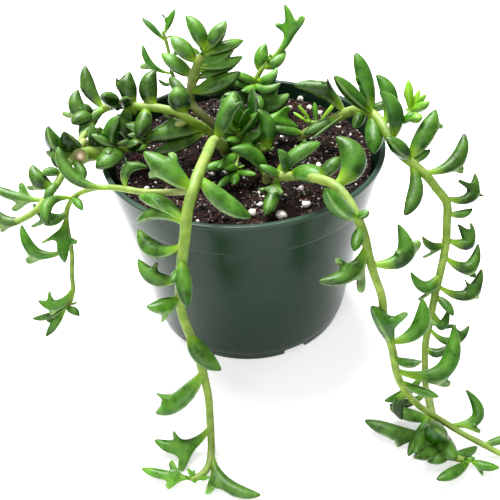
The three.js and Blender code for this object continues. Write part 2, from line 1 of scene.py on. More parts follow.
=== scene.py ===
# A potted string of dolphins: a thin nursery pot, potting mix with perlite, and eight leafy stems.
# The model is worked out in millimetres and put down in metres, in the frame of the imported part.
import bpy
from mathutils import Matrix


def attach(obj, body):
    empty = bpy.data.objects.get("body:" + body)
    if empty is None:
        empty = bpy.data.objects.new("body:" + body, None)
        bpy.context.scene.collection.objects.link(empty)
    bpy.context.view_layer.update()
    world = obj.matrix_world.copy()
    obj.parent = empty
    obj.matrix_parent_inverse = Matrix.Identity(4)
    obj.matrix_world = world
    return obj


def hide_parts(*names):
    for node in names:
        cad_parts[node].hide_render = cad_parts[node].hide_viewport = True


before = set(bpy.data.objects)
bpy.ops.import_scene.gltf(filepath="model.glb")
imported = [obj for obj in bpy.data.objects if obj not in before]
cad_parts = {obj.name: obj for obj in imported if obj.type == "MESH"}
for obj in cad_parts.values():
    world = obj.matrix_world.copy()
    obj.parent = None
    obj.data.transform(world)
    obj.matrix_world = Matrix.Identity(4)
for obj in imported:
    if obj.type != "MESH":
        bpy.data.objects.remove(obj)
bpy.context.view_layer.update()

import math
import random

import bmesh
import bpy
from mathutils import Matrix, Vector, noise
from mathutils.geometry import interpolate_bezier

mm = 0.001
upward = Vector((0, 0, 1))
print("frame loaded")

# Camera, where the photograph was taken from
cameraSettings = {
    "spot": (0, -233.4, 216.8),
    "belowLevel": 39.37,
    "pan": 0.16,
    "roll": -2.94,
    "lens": 50.4,
    "sensor": 36,
}


def makeCamera(settings):
    data = bpy.data.cameras.new("photoCamera")
    data.lens = settings["lens"]
    data.sensor_width = settings["sensor"]
    data.clip_start = 0.01
    camera = bpy.data.objects.new("photoCamera", data)
    turn = Matrix.Rotation(-math.radians(settings["pan"]), 4, "Z")
    tilt = Matrix.Rotation(math.radians(90 - settings["belowLevel"]), 4, "X")
    roll = Matrix.Rotation(math.radians(settings["roll"]), 4, "Z")
    camera.matrix_world = Matrix.Translation(Vector(settings["spot"]) * mm) @ turn @ tilt @ roll
    bpy.context.scene.collection.objects.link(camera)
    bpy.context.scene.camera = camera


makeCamera(cameraSettings)
print("camera placed")


def colour(code):
    # the six hex digits of a screen colour, as the linear values that a socket takes
    shares = [int(code[n:n + 2], 16) / 255 for n in (0, 2, 4)]
    return [s / 12.92 if s <= 0.04045 else ((s + 0.055) / 1.055) ** 2.4 for s in shares] + [1]


def setInputs(tree, node, inputs):
    # a value is a number, a colour or the output of another node
    for socket, value in inputs.items():
        if isinstance(value, bpy.types.NodeSocket):
            tree.links.new(value, node.inputs[socket])
        else:
            node.inputs[socket].default_value = value


def addNode(tree, kind, inputs=None, **settings):
    node = tree.nodes.new(kind)
    for name, value in settings.items():
        setattr(node, name, value)
    setInputs(tree, node, inputs or {})
    return node


def calc(tree, operation, first, second):
    return addNode(tree, "ShaderNodeMath", {0: first, 1: second}, operation=operation).outputs[0]


def ramp(tree, factor, stops):
    # a stop is a place from 0 to 1, in rising order, with a screen colour or a share
    node = addNode(tree, "ShaderNodeValToRGB", {"Fac": factor})
    points = node.color_ramp.elements
    points[0].position, points[1].position = stops[0][0], stops[-1][0]
    for spot, value in stops[1:-1]:
        points.new(spot)
    for point, (spot, value) in zip(points, stops):
        point.color = colour(value) if isinstance(value, str) else (value, value, value, 1)
    return node.outputs["Color"]


def mixed(tree, factor, first, second):
    inputs = {0: factor, 6: first, 7: second}
    return addNode(tree, "ShaderNodeMix", inputs, data_type="RGBA").outputs[2]


def noiseOf(tree, place, scale, detail, roughness=0.55):
    # the scale is the number of waves in a metre
    inputs = {"Vector": place, "Scale": scale, "Detail": detail, "Roughness": roughness}
    return addNode(tree, "ShaderNodeTexNoise", inputs).outputs["Fac"]


def bumpOf(tree, height, strength, distance):
    inputs = {"Height": height, "Strength": strength, "Distance": distance * mm}
    return addNode(tree, "ShaderNodeBump", inputs).outputs["Normal"]


def attributeOf(tree, name):
    return addNode(tree, "ShaderNodeAttribute", attribute_name=name).outputs["Fac"]


def heightOf(tree, direction):
    return addNode(tree, "ShaderNodeSeparateXYZ", {0: direction}).outputs["Z"]


def facingUp(tree):
    # 1 on what faces up, -1 on what faces down
    return heightOf(tree, addNode(tree, "ShaderNodeNewGeometry").outputs["Normal"])


def newMaterial(name):
    material = bpy.data.materials.new(name)
    material.use_nodes = True
    tree = material.node_tree
    place = addNode(tree, "ShaderNodeTexCoord").outputs["Object"]
    return material, tree, tree.nodes["Principled BSDF"], place


# Light and floor: a white studio, soft from all sides and stronger from above, in metres and watts
studio = {
    "surround": 0.4,
    "keySpot": (-0.14, 0.3, 0.9),
    "keySize": 0.6,
    "keyPower": 23,
    "fillSpot": (-0.35, -0.85, 0.5),
    "fillSize": 0.8,
    "fillPower": 5,
    "floorReach": 4,
    "floorTone": 0.92,
    "floorGlow": 0.5,
}


def makeStudio(settings):
    scene = bpy.context.scene
    scene.view_settings.view_transform = "Standard"
    world = bpy.data.worlds.new("whiteStudio")
    world.use_nodes = True
    background = world.node_tree.nodes["Background"]
    background.inputs["Color"].default_value = (1, 1, 1, 1)
    background.inputs["Strength"].default_value = settings["surround"]
    scene.world = world
    for part in ("key", "fill"):
        lamp = bpy.data.lights.new(part + "Light", "AREA")
        lamp.shape = "DISK"
        lamp.size = settings[part + "Size"]
        lamp.energy = settings[part + "Power"]
        light = bpy.data.objects.new(part + "Light", lamp)
        spot = Vector(settings[part + "Spot"])
        light.matrix_world = Matrix.Translation(spot) @ (-spot).to_track_quat("-Z", "Y").to_matrix().to_4x4()
        scene.collection.objects.link(light)

    bm = bmesh.new()
    bmesh.ops.create_grid(bm, x_segments=1, y_segments=1, size=settings["floorReach"])
    mesh = bpy.data.meshes.new("studioFloor")
    bm.to_mesh(mesh)
    bm.free()
    material, tree, shader = newMaterial("paleFloor")[:3]
    tone = settings["floorTone"]
    setInputs(tree, shader, {
        "Base Color": (tone, tone, tone, 1),
        "Roughness": 0.75,
        "Specular IOR Level": 0.2,
        "Emission Color": (1, 1, 1, 1),
        "Emission Strength": settings["floorGlow"],
    })
    mesh.materials.append(material)
    floor = bpy.data.objects.new("studioFloor", mesh)
    scene.collection.objects.link(floor)


makeStudio(studio)
print("studio lit")


def newPiece(name, bm, material, node, smoothing=0):
    # from a mesh in millimetres to a finished piece that stands for a solid of the part
    bmesh.ops.scale(bm, vec=(mm, mm, mm), verts=bm.verts)
    mesh = bpy.data.meshes.new(name)
    bm.to_mesh(mesh)
    bm.free()
    mesh.shade_smooth()
    mesh.materials.append(material)
    piece = bpy.data.objects.new(name, mesh)
    bpy.context.scene.collection.objects.link(piece)
    if smoothing:
        skin = piece.modifiers.new("roundedSkin", "SUBSURF")
        skin.levels = smoothing
        skin.render_levels = smoothing
    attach(piece, "root")
    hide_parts(node)
    print(name, "made with", len(mesh.polygons), "faces")
    return piece


def addInto(bm, part):
    # puts a finished small mesh into a larger one
    mesh = bpy.data.meshes.new("passing")
    part.to_mesh(mesh)
    part.free()
    bm.from_mesh(mesh)
    bpy.data.meshes.remove(mesh)


def layerOf(bm, name):
    return bm.verts.layers.float.get(name) or bm.verts.layers.float.new(name)


def setLayers(bm, values):
    for name, value in values.items():
        layer = layerOf(bm, name)
        for vert in bm.verts:
            vert[layer] = value


def turned(outline, steps):
    # a closed body from half its section, given as radius and height
    bm = bmesh.new()
    corners = [bm.verts.new((radius, 0, height)) for radius, height in outline]
    edges = [bm.edges.new(pair) for pair in zip(corners, corners[1:])]
    bmesh.ops.spin(
        bm, geom=corners + edges, cent=(0, 0, 0), axis=(0, 0, 1), angle=math.tau, steps=steps, use_merge=True
    )
    bmesh.ops.remove_doubles(bm, verts=bm.verts, dist=1e-4)
    bmesh.ops.recalc_face_normals(bm, faces=bm.faces)
    return bm


# Pot
potSettings = {
    "height": 79,
    "topRadius": 54,
    "baseRadius": 40.5,
    "wall": 1.3,
    "bandHeight": 14,
    "bandProud": 0.9,
    "lipWidth": 2.0,
    "lipHeight": 1.4,
    "lipOverhang": 0.7,
    "lipRound": 0.45,
    "wallInset": 1.7,
    "ringHeight": 4.6,
    "ringStep": 0.5,
    "stepRise": 0.6,
    "footRound": 1.4,
    "floor": 2,
    "sides": 176,
    "slotCount": 6,
    "slotWidth": 10,
    "slotDepth": 6,
    "slotHeight": 3.2,
    "slotTurn": 25,
    "slotRound": 0.5,
    "sharpFrom": 35,
    "plastic": "12291a",
    "smudge": "193222",
    "dusty": "3a5243",
    "paleLipTop": "5d7566",
    "roughness": 0.24,
}


def wallRadius(height):
    share = height / potSettings["height"]
    top = potSettings["topRadius"] - potSettings["wallInset"]
    return potSettings["baseRadius"] + (top - potSettings["baseRadius"]) * share


def potMaterial(settings):
    material, tree, shader, place = newMaterial("greenPotPlastic")
    cloud = noiseOf(tree, place, 38, 4)
    dust = noiseOf(tree, place, 420, 5, 0.7)
    lift = ramp(tree, cloud, [(0.42, 0.0), (0.75, 0.55)])
    base = mixed(tree, lift, colour(settings["plastic"]), colour(settings["smudge"]))
    worn = ramp(tree, dust, [(0.60, 0.0), (0.82, 0.35)])
    base = mixed(tree, worn, base, colour(settings["dusty"]))
    level = calc(tree, "MULTIPLY", heightOf(tree, place), 1 / (settings["height"] * mm))
    lip = ramp(tree, level, [(0.984, 0.0), (0.995, 0.22)])  # only the top of the lip is made paler
    base = mixed(tree, lip, base, colour(settings["paleLipTop"]))
    gloss = calc(tree, "ADD", calc(tree, "MULTIPLY", cloud, 0.16), settings["roughness"] - 0.08)
    grain = noiseOf(tree, place, 900, 3)
    swell = noiseOf(tree, place, 45, 2)
    bump = calc(tree, "ADD", calc(tree, "MULTIPLY", grain, 0.12), swell)
    setInputs(tree, shader, {
        "Base Color": base,
        "Roughness": gloss,
        "IOR": 1.49,
        "Specular IOR Level": 0.17,
        "Normal": bumpOf(tree, bump, 0.35, 0.25),
    })
    return material


def arc(across, height, radius, start, end, steps):
    # points on a rounded edge of a section, between two angles from the outward direction
    turns = [math.radians(start + (end - start) * n / steps) for n in range(steps + 1)]
    return [(across + math.cos(turn) * radius, height + math.sin(turn) * radius) for turn in turns]


def makePot(settings):
    height, top = settings["height"], settings["topRadius"]
    bandFoot = height - settings["bandHeight"]
    rise, ring, step = settings["stepRise"], settings["ringHeight"], settings["ringStep"]
    proud, overhang, lipFoot = settings["bandProud"], settings["lipOverhang"], height - settings["lipHeight"]
    inside = lambda level: wallRadius(level) - settings["wall"]
    foot = settings["footRound"]
    outline = [(0, 0), (settings["baseRadius"] * 0.5, 0)]
    outline += arc(settings["baseRadius"] - foot, foot, foot, -90, 0, 5)
    outline += [
        # the step of the foot ring, from which the ring runs out into the wall
        (wallRadius(ring - 0.3), ring - 0.3),
        (wallRadius(ring), ring),
        (wallRadius(ring) + step * 0.8, ring + rise * 0.5),
        (wallRadius(ring) + step, ring + rise),
        (wallRadius(ring + 3) + step * 0.95, ring + 3),
        (wallRadius(bandFoot * 0.5) + step * 0.45, bandFoot * 0.5),
        # the line under the band, and the band
        (wallRadius(bandFoot) + 0.02, bandFoot - rise - 1),
        (wallRadius(bandFoot), bandFoot - rise),
        (wallRadius(bandFoot) + proud * 0.85, bandFoot - rise * 0.25),
        (wallRadius(bandFoot) + proud, bandFoot + 0.1),
        (wallRadius(bandFoot) + proud + 0.05, bandFoot + 1),
        # the underside of the lip
        (top - overhang - 0.05, lipFoot - rise - 0.8),
        (top - overhang, lipFoot - rise),
        (top - 0.1, lipFoot - 0.08),
        (top, lipFoot + 0.1),
    ]
    lip = settings["lipRound"]
    outline += arc(top - lip, height - lip, lip, 0, 90, 4)
    outline += arc(top - settings["lipWidth"] + lip, height - lip, lip, 90, 180, 4)
    outline += [
        (inside(bandFoot) + rise, bandFoot),
        (inside(bandFoot * 0.5), bandFoot * 0.5),
        (inside(settings["floor"]), settings["floor"]),
        (0, settings["floor"]),
    ]
    bm = turned(outline, settings["sides"])
    pot = newPiece("pottedDolphinsPot", bm, potMaterial(settings), "pot")
    cutSlots(pot, settings)


def cutSlots(pot, settings):
    # the drain slots where the floor meets the wall
    cutters = bmesh.new()
    for n in range(settings["slotCount"]):
        slot = bmesh.new()
        bmesh.ops.create_cube(slot, size=1)
        size = (settings["slotDepth"], settings["slotWidth"], 2 * settings["slotHeight"])
        bmesh.ops.scale(slot, vec=size, verts=slot.verts)
        bmesh.ops.bevel(
            slot, geom=slot.edges, offset=settings["slotRound"], segments=3, profile=0.5, affect="EDGES",
            material=-1,
        )
        bmesh.ops.translate(slot, vec=(settings["baseRadius"], 0, 0), verts=slot.verts)
        heading = settings["slotTurn"] - 90 + 360 / settings["slotCount"] * n
        turn = Matrix.Rotation(math.radians(heading), 3, "Z")
        bmesh.ops.rotate(slot, cent=(0, 0, 0), matrix=turn, verts=slot.verts)
        addInto(cutters, slot)
    bmesh.ops.scale(cutters, vec=(mm, mm, mm), verts=cutters.verts)
    mesh = bpy.data.meshes.new("slotCutters")
    cutters.to_mesh(mesh)
    cutters.free()
    cutter = bpy.data.objects.new("slotCutters", mesh)
    bpy.context.scene.collection.objects.link(cutter)
    cut = pot.modifiers.new("drainSlots", "BOOLEAN")
    cut.operation = "DIFFERENCE"
    cut.solver = "EXACT"
    cut.object = cutter
    finished = bpy.data.meshes.new_from_object(pot.evaluated_get(bpy.context.evaluated_depsgraph_get()))
    pot.modifiers.clear()
    pot.data = finished
    finished.name = "pottedDolphinsPot"
    finished.set_sharp_from_angle(angle=math.radians(settings["sharpFrom"]))
    bpy.data.objects.remove(cutter)


makePot(potSettings)
print("pot made")

# Soil, with crumbs and fibres on it
soilSettings = {
    "level": 73,
    "gap": 0.35,
    "bump": 0.9,
    "shoulder": 1.5,
    "rings": 62,
    "sides": 200,
    "ragged": 0.22,
    "crumbs": 1900,
    "crumbSize": (0.35, 1.5),
    "crumbMargin": 2.4,
    "fibres": 110,
    "fibrePoints": 8,
    "fibreSize": (0.08, 0.2),
    "fibreMargin": 3,
    "seed": 21,
    "mix": [(0.42, "020101"), (0.49, "0d0502"), (0.56, "2a1108"), (0.66, "612e17")],
    "fibreTones": [(0.0, "120906"), (0.5, "3a1c10"), (0.8, "6b4630"), (1.0, "cfc4b4")],
    # white dust and pale grit: fineness, reach, share of the cells, tint
    "flecks": [(620, 0.30, 0.15, "d8ccc4"), (1300, 0.36, 0.20, "a99486"), (380, 0.17, 0.11, "f8f4f0")],
}


def soilRelief(x, y):
    # the slow waves of the surface, as the solid has them
    swell = math.sin(x * 0.13 + 1.1) * math.cos(y * 0.11 - 0.6)
    crumb = math.sin(x * 0.47 + y * 0.21) * math.sin(y * 0.43 - x * 0.17 + 2.0)
    return soilSettings["bump"] * (0.6 * swell + 0.4 * crumb)


def soilTop(x, y):
    # the height of the loose surface, with its small lumps
    spot = Vector((x, y, 0))
    lumps = noise.noise(spot * 0.32) * 0.5 + noise.noise(spot * 0.8) * 0.35
    return soilSettings["level"] + soilRelief(x, y) + lumps


def soilReach(margin):
    return wallRadius(soilSettings["level"]) - potSettings["wall"] - margin


def strewn(draw, reach):
    # a random place on the soil, evenly spread out to the reach
    radius, turn = math.sqrt(draw.random()) * reach, draw.random() * math.tau
    return radius * math.cos(turn), radius * math.sin(turn)


def soilMaterial(settings):
    material, tree, shader, place = newMaterial("pottingMix")
    coarse = noiseOf(tree, place, 240, 5, 0.7)
    fine = noiseOf(tree, place, 1500, 4, 0.7)
    lumps = addNode(tree, "ShaderNodeTexVoronoi", {"Vector": place, "Scale": 620}).outputs["Distance"]
    blend = calc(tree, "ADD", calc(tree, "MULTIPLY", coarse, 0.5), calc(tree, "MULTIPLY", fine, 0.5))
    base = ramp(tree, blend, settings["mix"])
    for scale, spread, share, tint in settings["flecks"]:
        cells = addNode(tree, "ShaderNodeTexVoronoi", {"Vector": place, "Scale": scale}).outputs
        chosen = addNode(tree, "ShaderNodeSeparateColor", {0: cells["Color"]}).outputs[0]
        near = ramp(tree, cells["Distance"], [(spread * 0.6, 1.0), (spread, 0.0)])
        fleck = calc(tree, "MULTIPLY", near, calc(tree, "GREATER_THAN", chosen, 1 - share))
        base = mixed(tree, fleck, base, colour(tint))
    height = calc(tree, "ADD", lumps, fine)
    setInputs(tree, shader, {
        "Base Color": base,
        "Roughness": ramp(tree, coarse, [(0.42, 0.3), (0.6, 0.85)]),
        "Specular IOR Level": 0.2,
        "Normal": bumpOf(tree, height, 1.0, 0.9),
    })
    return material


def fibreMaterial(settings):
    material, tree, shader, place = newMaterial("mixFibres")
    setInputs(tree, shader, {
        "Base Color": ramp(tree, attributeOf(tree, "tone"), settings["fibreTones"]),
        "Roughness": 0.7,
        "Normal": bumpOf(tree, noiseOf(tree, place, 2400, 2), 0.4, 0.1),
    })
    return material


def makeSoil(settings):
    wall = lambda level: wallRadius(level) - potSettings["wall"] - settings["gap"]
    foot = potSettings["floor"] + settings["gap"]
    level = settings["level"]
    outline = [(0, foot), (wall(foot), foot), (wall(level * 0.5), level * 0.5)]
    outline.append((wall(level - 1), level - settings["shoulder"]))
    edge = wall(level) - settings["shoulder"] / 2
    # close rings on the top, which the small lumps need
    outline += [(edge * (1 - n / settings["rings"]), level) for n in range(settings["rings"] + 1)]
    bm = turned(outline, settings["sides"])
    noise.seed_set(settings["seed"])
    for vert in bm.verts:
        if vert.co.z > level - settings["shoulder"] / 2:
            vert.co.z = soilTop(vert.co.x, vert.co.y)
            ragged = noise.noise_vector(vert.co * 1.4) * settings["ragged"]
            vert.co += ragged * min(1, (edge - Vector(vert.co[:2]).length) / 2)
    newPiece("pottingSoil", bm, soilMaterial(settings), "soil")


def makeCrumbs(settings):
    draw = random.Random(settings["seed"])
    reach = soilReach(settings["crumbMargin"])
    least, most = settings["crumbSize"]
    crumbs = bmesh.new()
    for n in range(settings["crumbs"]):
        x, y = strewn(draw, reach)
        size = least + (most - least) * draw.random() ** 3
        crumb = bmesh.new()
        bmesh.ops.create_icosphere(crumb, subdivisions=1, radius=1)
        shape = (size * draw.uniform(0.8, 1.5), size * draw.uniform(0.6, 1), size * draw.uniform(0.45, 0.8))
        bmesh.ops.scale(crumb, vec=shape, verts=crumb.verts)
        spin = Matrix.Rotation(draw.random() * math.tau, 3, "Z")
        tilt = Matrix.Rotation(draw.uniform(-0.6, 0.6), 3, "X")
        bmesh.ops.rotate(crumb, cent=(0, 0, 0), matrix=spin @ tilt, verts=crumb.verts)
        for vert in crumb.verts:
            vert.co *= draw.uniform(0.75, 1.15)
        bmesh.ops.translate(crumb, vec=(x, y, soilTop(x, y) + size * 0.1), verts=crumb.verts)
        addInto(crumbs, crumb)
    newPiece("soilCrumbs", crumbs, soilMaterial(settings), "soil")


def bentRod(path, radiusAt, sides, up, layers):
    # a rod with closed ends laid along a path, its thickness a function of the share of its length
    bm = bmesh.new()
    bmesh.ops.create_cone(bm, cap_ends=True, segments=sides, radius1=1, radius2=1, depth=1)
    bmesh.ops.translate(bm, vec=(0, 0, 0.5), verts=bm.verts)
    lengthways = [edge for edge in bm.edges if abs(edge.verts[0].co.z - edge.verts[1].co.z) > 0.5]
    bmesh.ops.subdivide_edges(bm, edges=lengthways, cuts=len(path) - 2, use_grid_fill=True)
    setLayers(bm, layers)
    along = layerOf(bm, "along")
    frames = framesOn(path, up)
    for vert in bm.verts:
        share = vert.co.z
        spot, ahead, over, side = frames[round(share * (len(path) - 1))]
        vert[along] = share
        vert.co = spot + (over * vert.co.x + side * vert.co.y) * radiusAt(share)
    return bm


def framesOn(path, up):
    # for each point of a path: the point, ahead, over and side, turned no more than the path itself turns
    frames = []
    for n, spot in enumerate(path):
        ahead = (path[min(n + 1, len(path) - 1)] - path[max(n - 1, 0)]).normalized()
        over = frames[-1][1].rotation_difference(ahead) @ frames[-1][2] if frames else up
        over = (over - ahead * over.dot(ahead)).normalized()
        frames.append((spot, ahead, over, ahead.cross(over)))
    return frames


def makeFibres(settings):
    draw = random.Random(settings["seed"] + 1)
    reach = soilReach(settings["fibreMargin"])
    last = settings["fibrePoints"] - 1
    fibres = bmesh.new()
    for n in range(settings["fibres"]):
        spot = Vector((*strewn(draw, reach), 0))
        heading, curl = draw.random() * math.tau, draw.uniform(-0.5, 0.5)
        step = draw.uniform(0.5, 1.5)
        path = []
        for k in range(last + 1):
            if spot.length > reach:
                spot *= reach / spot.length
            lift = 0.15 + 0.9 * math.sin(math.pi * k / last) * (n % 3) / 2  # two in three arch up
            path.append(Vector((spot.x, spot.y, soilTop(spot.x, spot.y) + lift)))
            spot += Vector((math.cos(heading), math.sin(heading), 0)) * step
            heading += curl
        thick = draw.uniform(*settings["fibreSize"])
        tone = {"tone": draw.random() ** 1.3}
        addInto(fibres, bentRod(path, lambda share: thick, 4, upward, tone))
    newPiece("soilFibres", fibres, fibreMaterial(settings), "soil")


makeSoil(soilSettings)
makeCrumbs(soilSettings)
makeFibres(soilSettings)
print("soil laid")

# Perlite: the grains that show well, as x, y and size, and a scatter of small ones
perliteSettings = {
    "large": [
        (12, -41, 2.2), (21, -36, 1.9), (2, -39, 1.5), (26, 42, 1.4), (29, 34, 1.3), (18, 18, 1.2),
        (18, -6, 1.2), (-7, -11, 1.1), (36, -8, 1.4), (-31, -28, 1.2), (-26, -37, 1.0), (36, 23, 1.3),
        (28, -11, 1.1), (20, -26, 1.2), (33, 28, 1.1), (21, 36, 1.0), (16, 12, 1.0), (5, -33, 1.1),
        (-18, -24, 0.9), (-36, -20, 0.9),
    ],
    "scatter": 170,
    "scatterSize": (0.25, 0.85),
    "seed": 5,
    "tones": [(0.38, "b5a498"), (0.48, "e8dfd7"), (0.65, "fbf8f4")],
}


def perliteMaterial(settings):
    material, tree, shader, place = newMaterial("perliteGrain")
    pits = noiseOf(tree, place, 1400, 4, 0.7)
    setInputs(tree, shader, {
        "Base Color": ramp(tree, pits, settings["tones"]),
        "Roughness": 0.85,
        "Subsurface Weight": 0.15,
        "Subsurface Scale": 0.0008,
        "Normal": bumpOf(tree, pits, 0.8, 0.4),
    })
    return material


def makePerlite(settings):
    draw = random.Random(settings["seed"])
    reach = soilReach(soilSettings["crumbMargin"])
    places = [(x, y, size, 2) for x, y, size in settings["large"]]
    least, most = settings["scatterSize"]
    for n in range(settings["scatter"]):
        x, y = strewn(draw, reach)
        places.append((x, y, least + (most - least) * draw.random() ** 2.2, 1))
    grains = bmesh.new()
    for x, y, size, rounds in places:
        grain = bmesh.new()
        bmesh.ops.create_icosphere(grain, subdivisions=rounds, radius=size)
        shape = (draw.uniform(0.8, 1.1), draw.uniform(0.8, 1.1), draw.uniform(0.65, 0.9))
        bmesh.ops.scale(grain, vec=shape, verts=grain.verts)
        dents = Vector((draw.random(), draw.random(), draw.random())) * 40
        for vert in grain.verts:
            vert.co *= 1 + 0.55 * noise.noise(vert.co * 1.3 / size + dents) + draw.uniform(-0.08, 0.08)
        spin = Matrix.Rotation(draw.random() * 6, 3, "Z")
        bmesh.ops.rotate(grain, cent=(0, 0, 0), matrix=spin, verts=grain.verts)
        bmesh.ops.translate(grain, vec=(x, y, soilTop(x, y) + size * 0.3), verts=grain.verts)
        addInto(grains, grain)
    newPiece("perliteGrains", grains, perliteMaterial(settings), "soil")


makePerlite(perliteSettings)
print("perlite strewn")
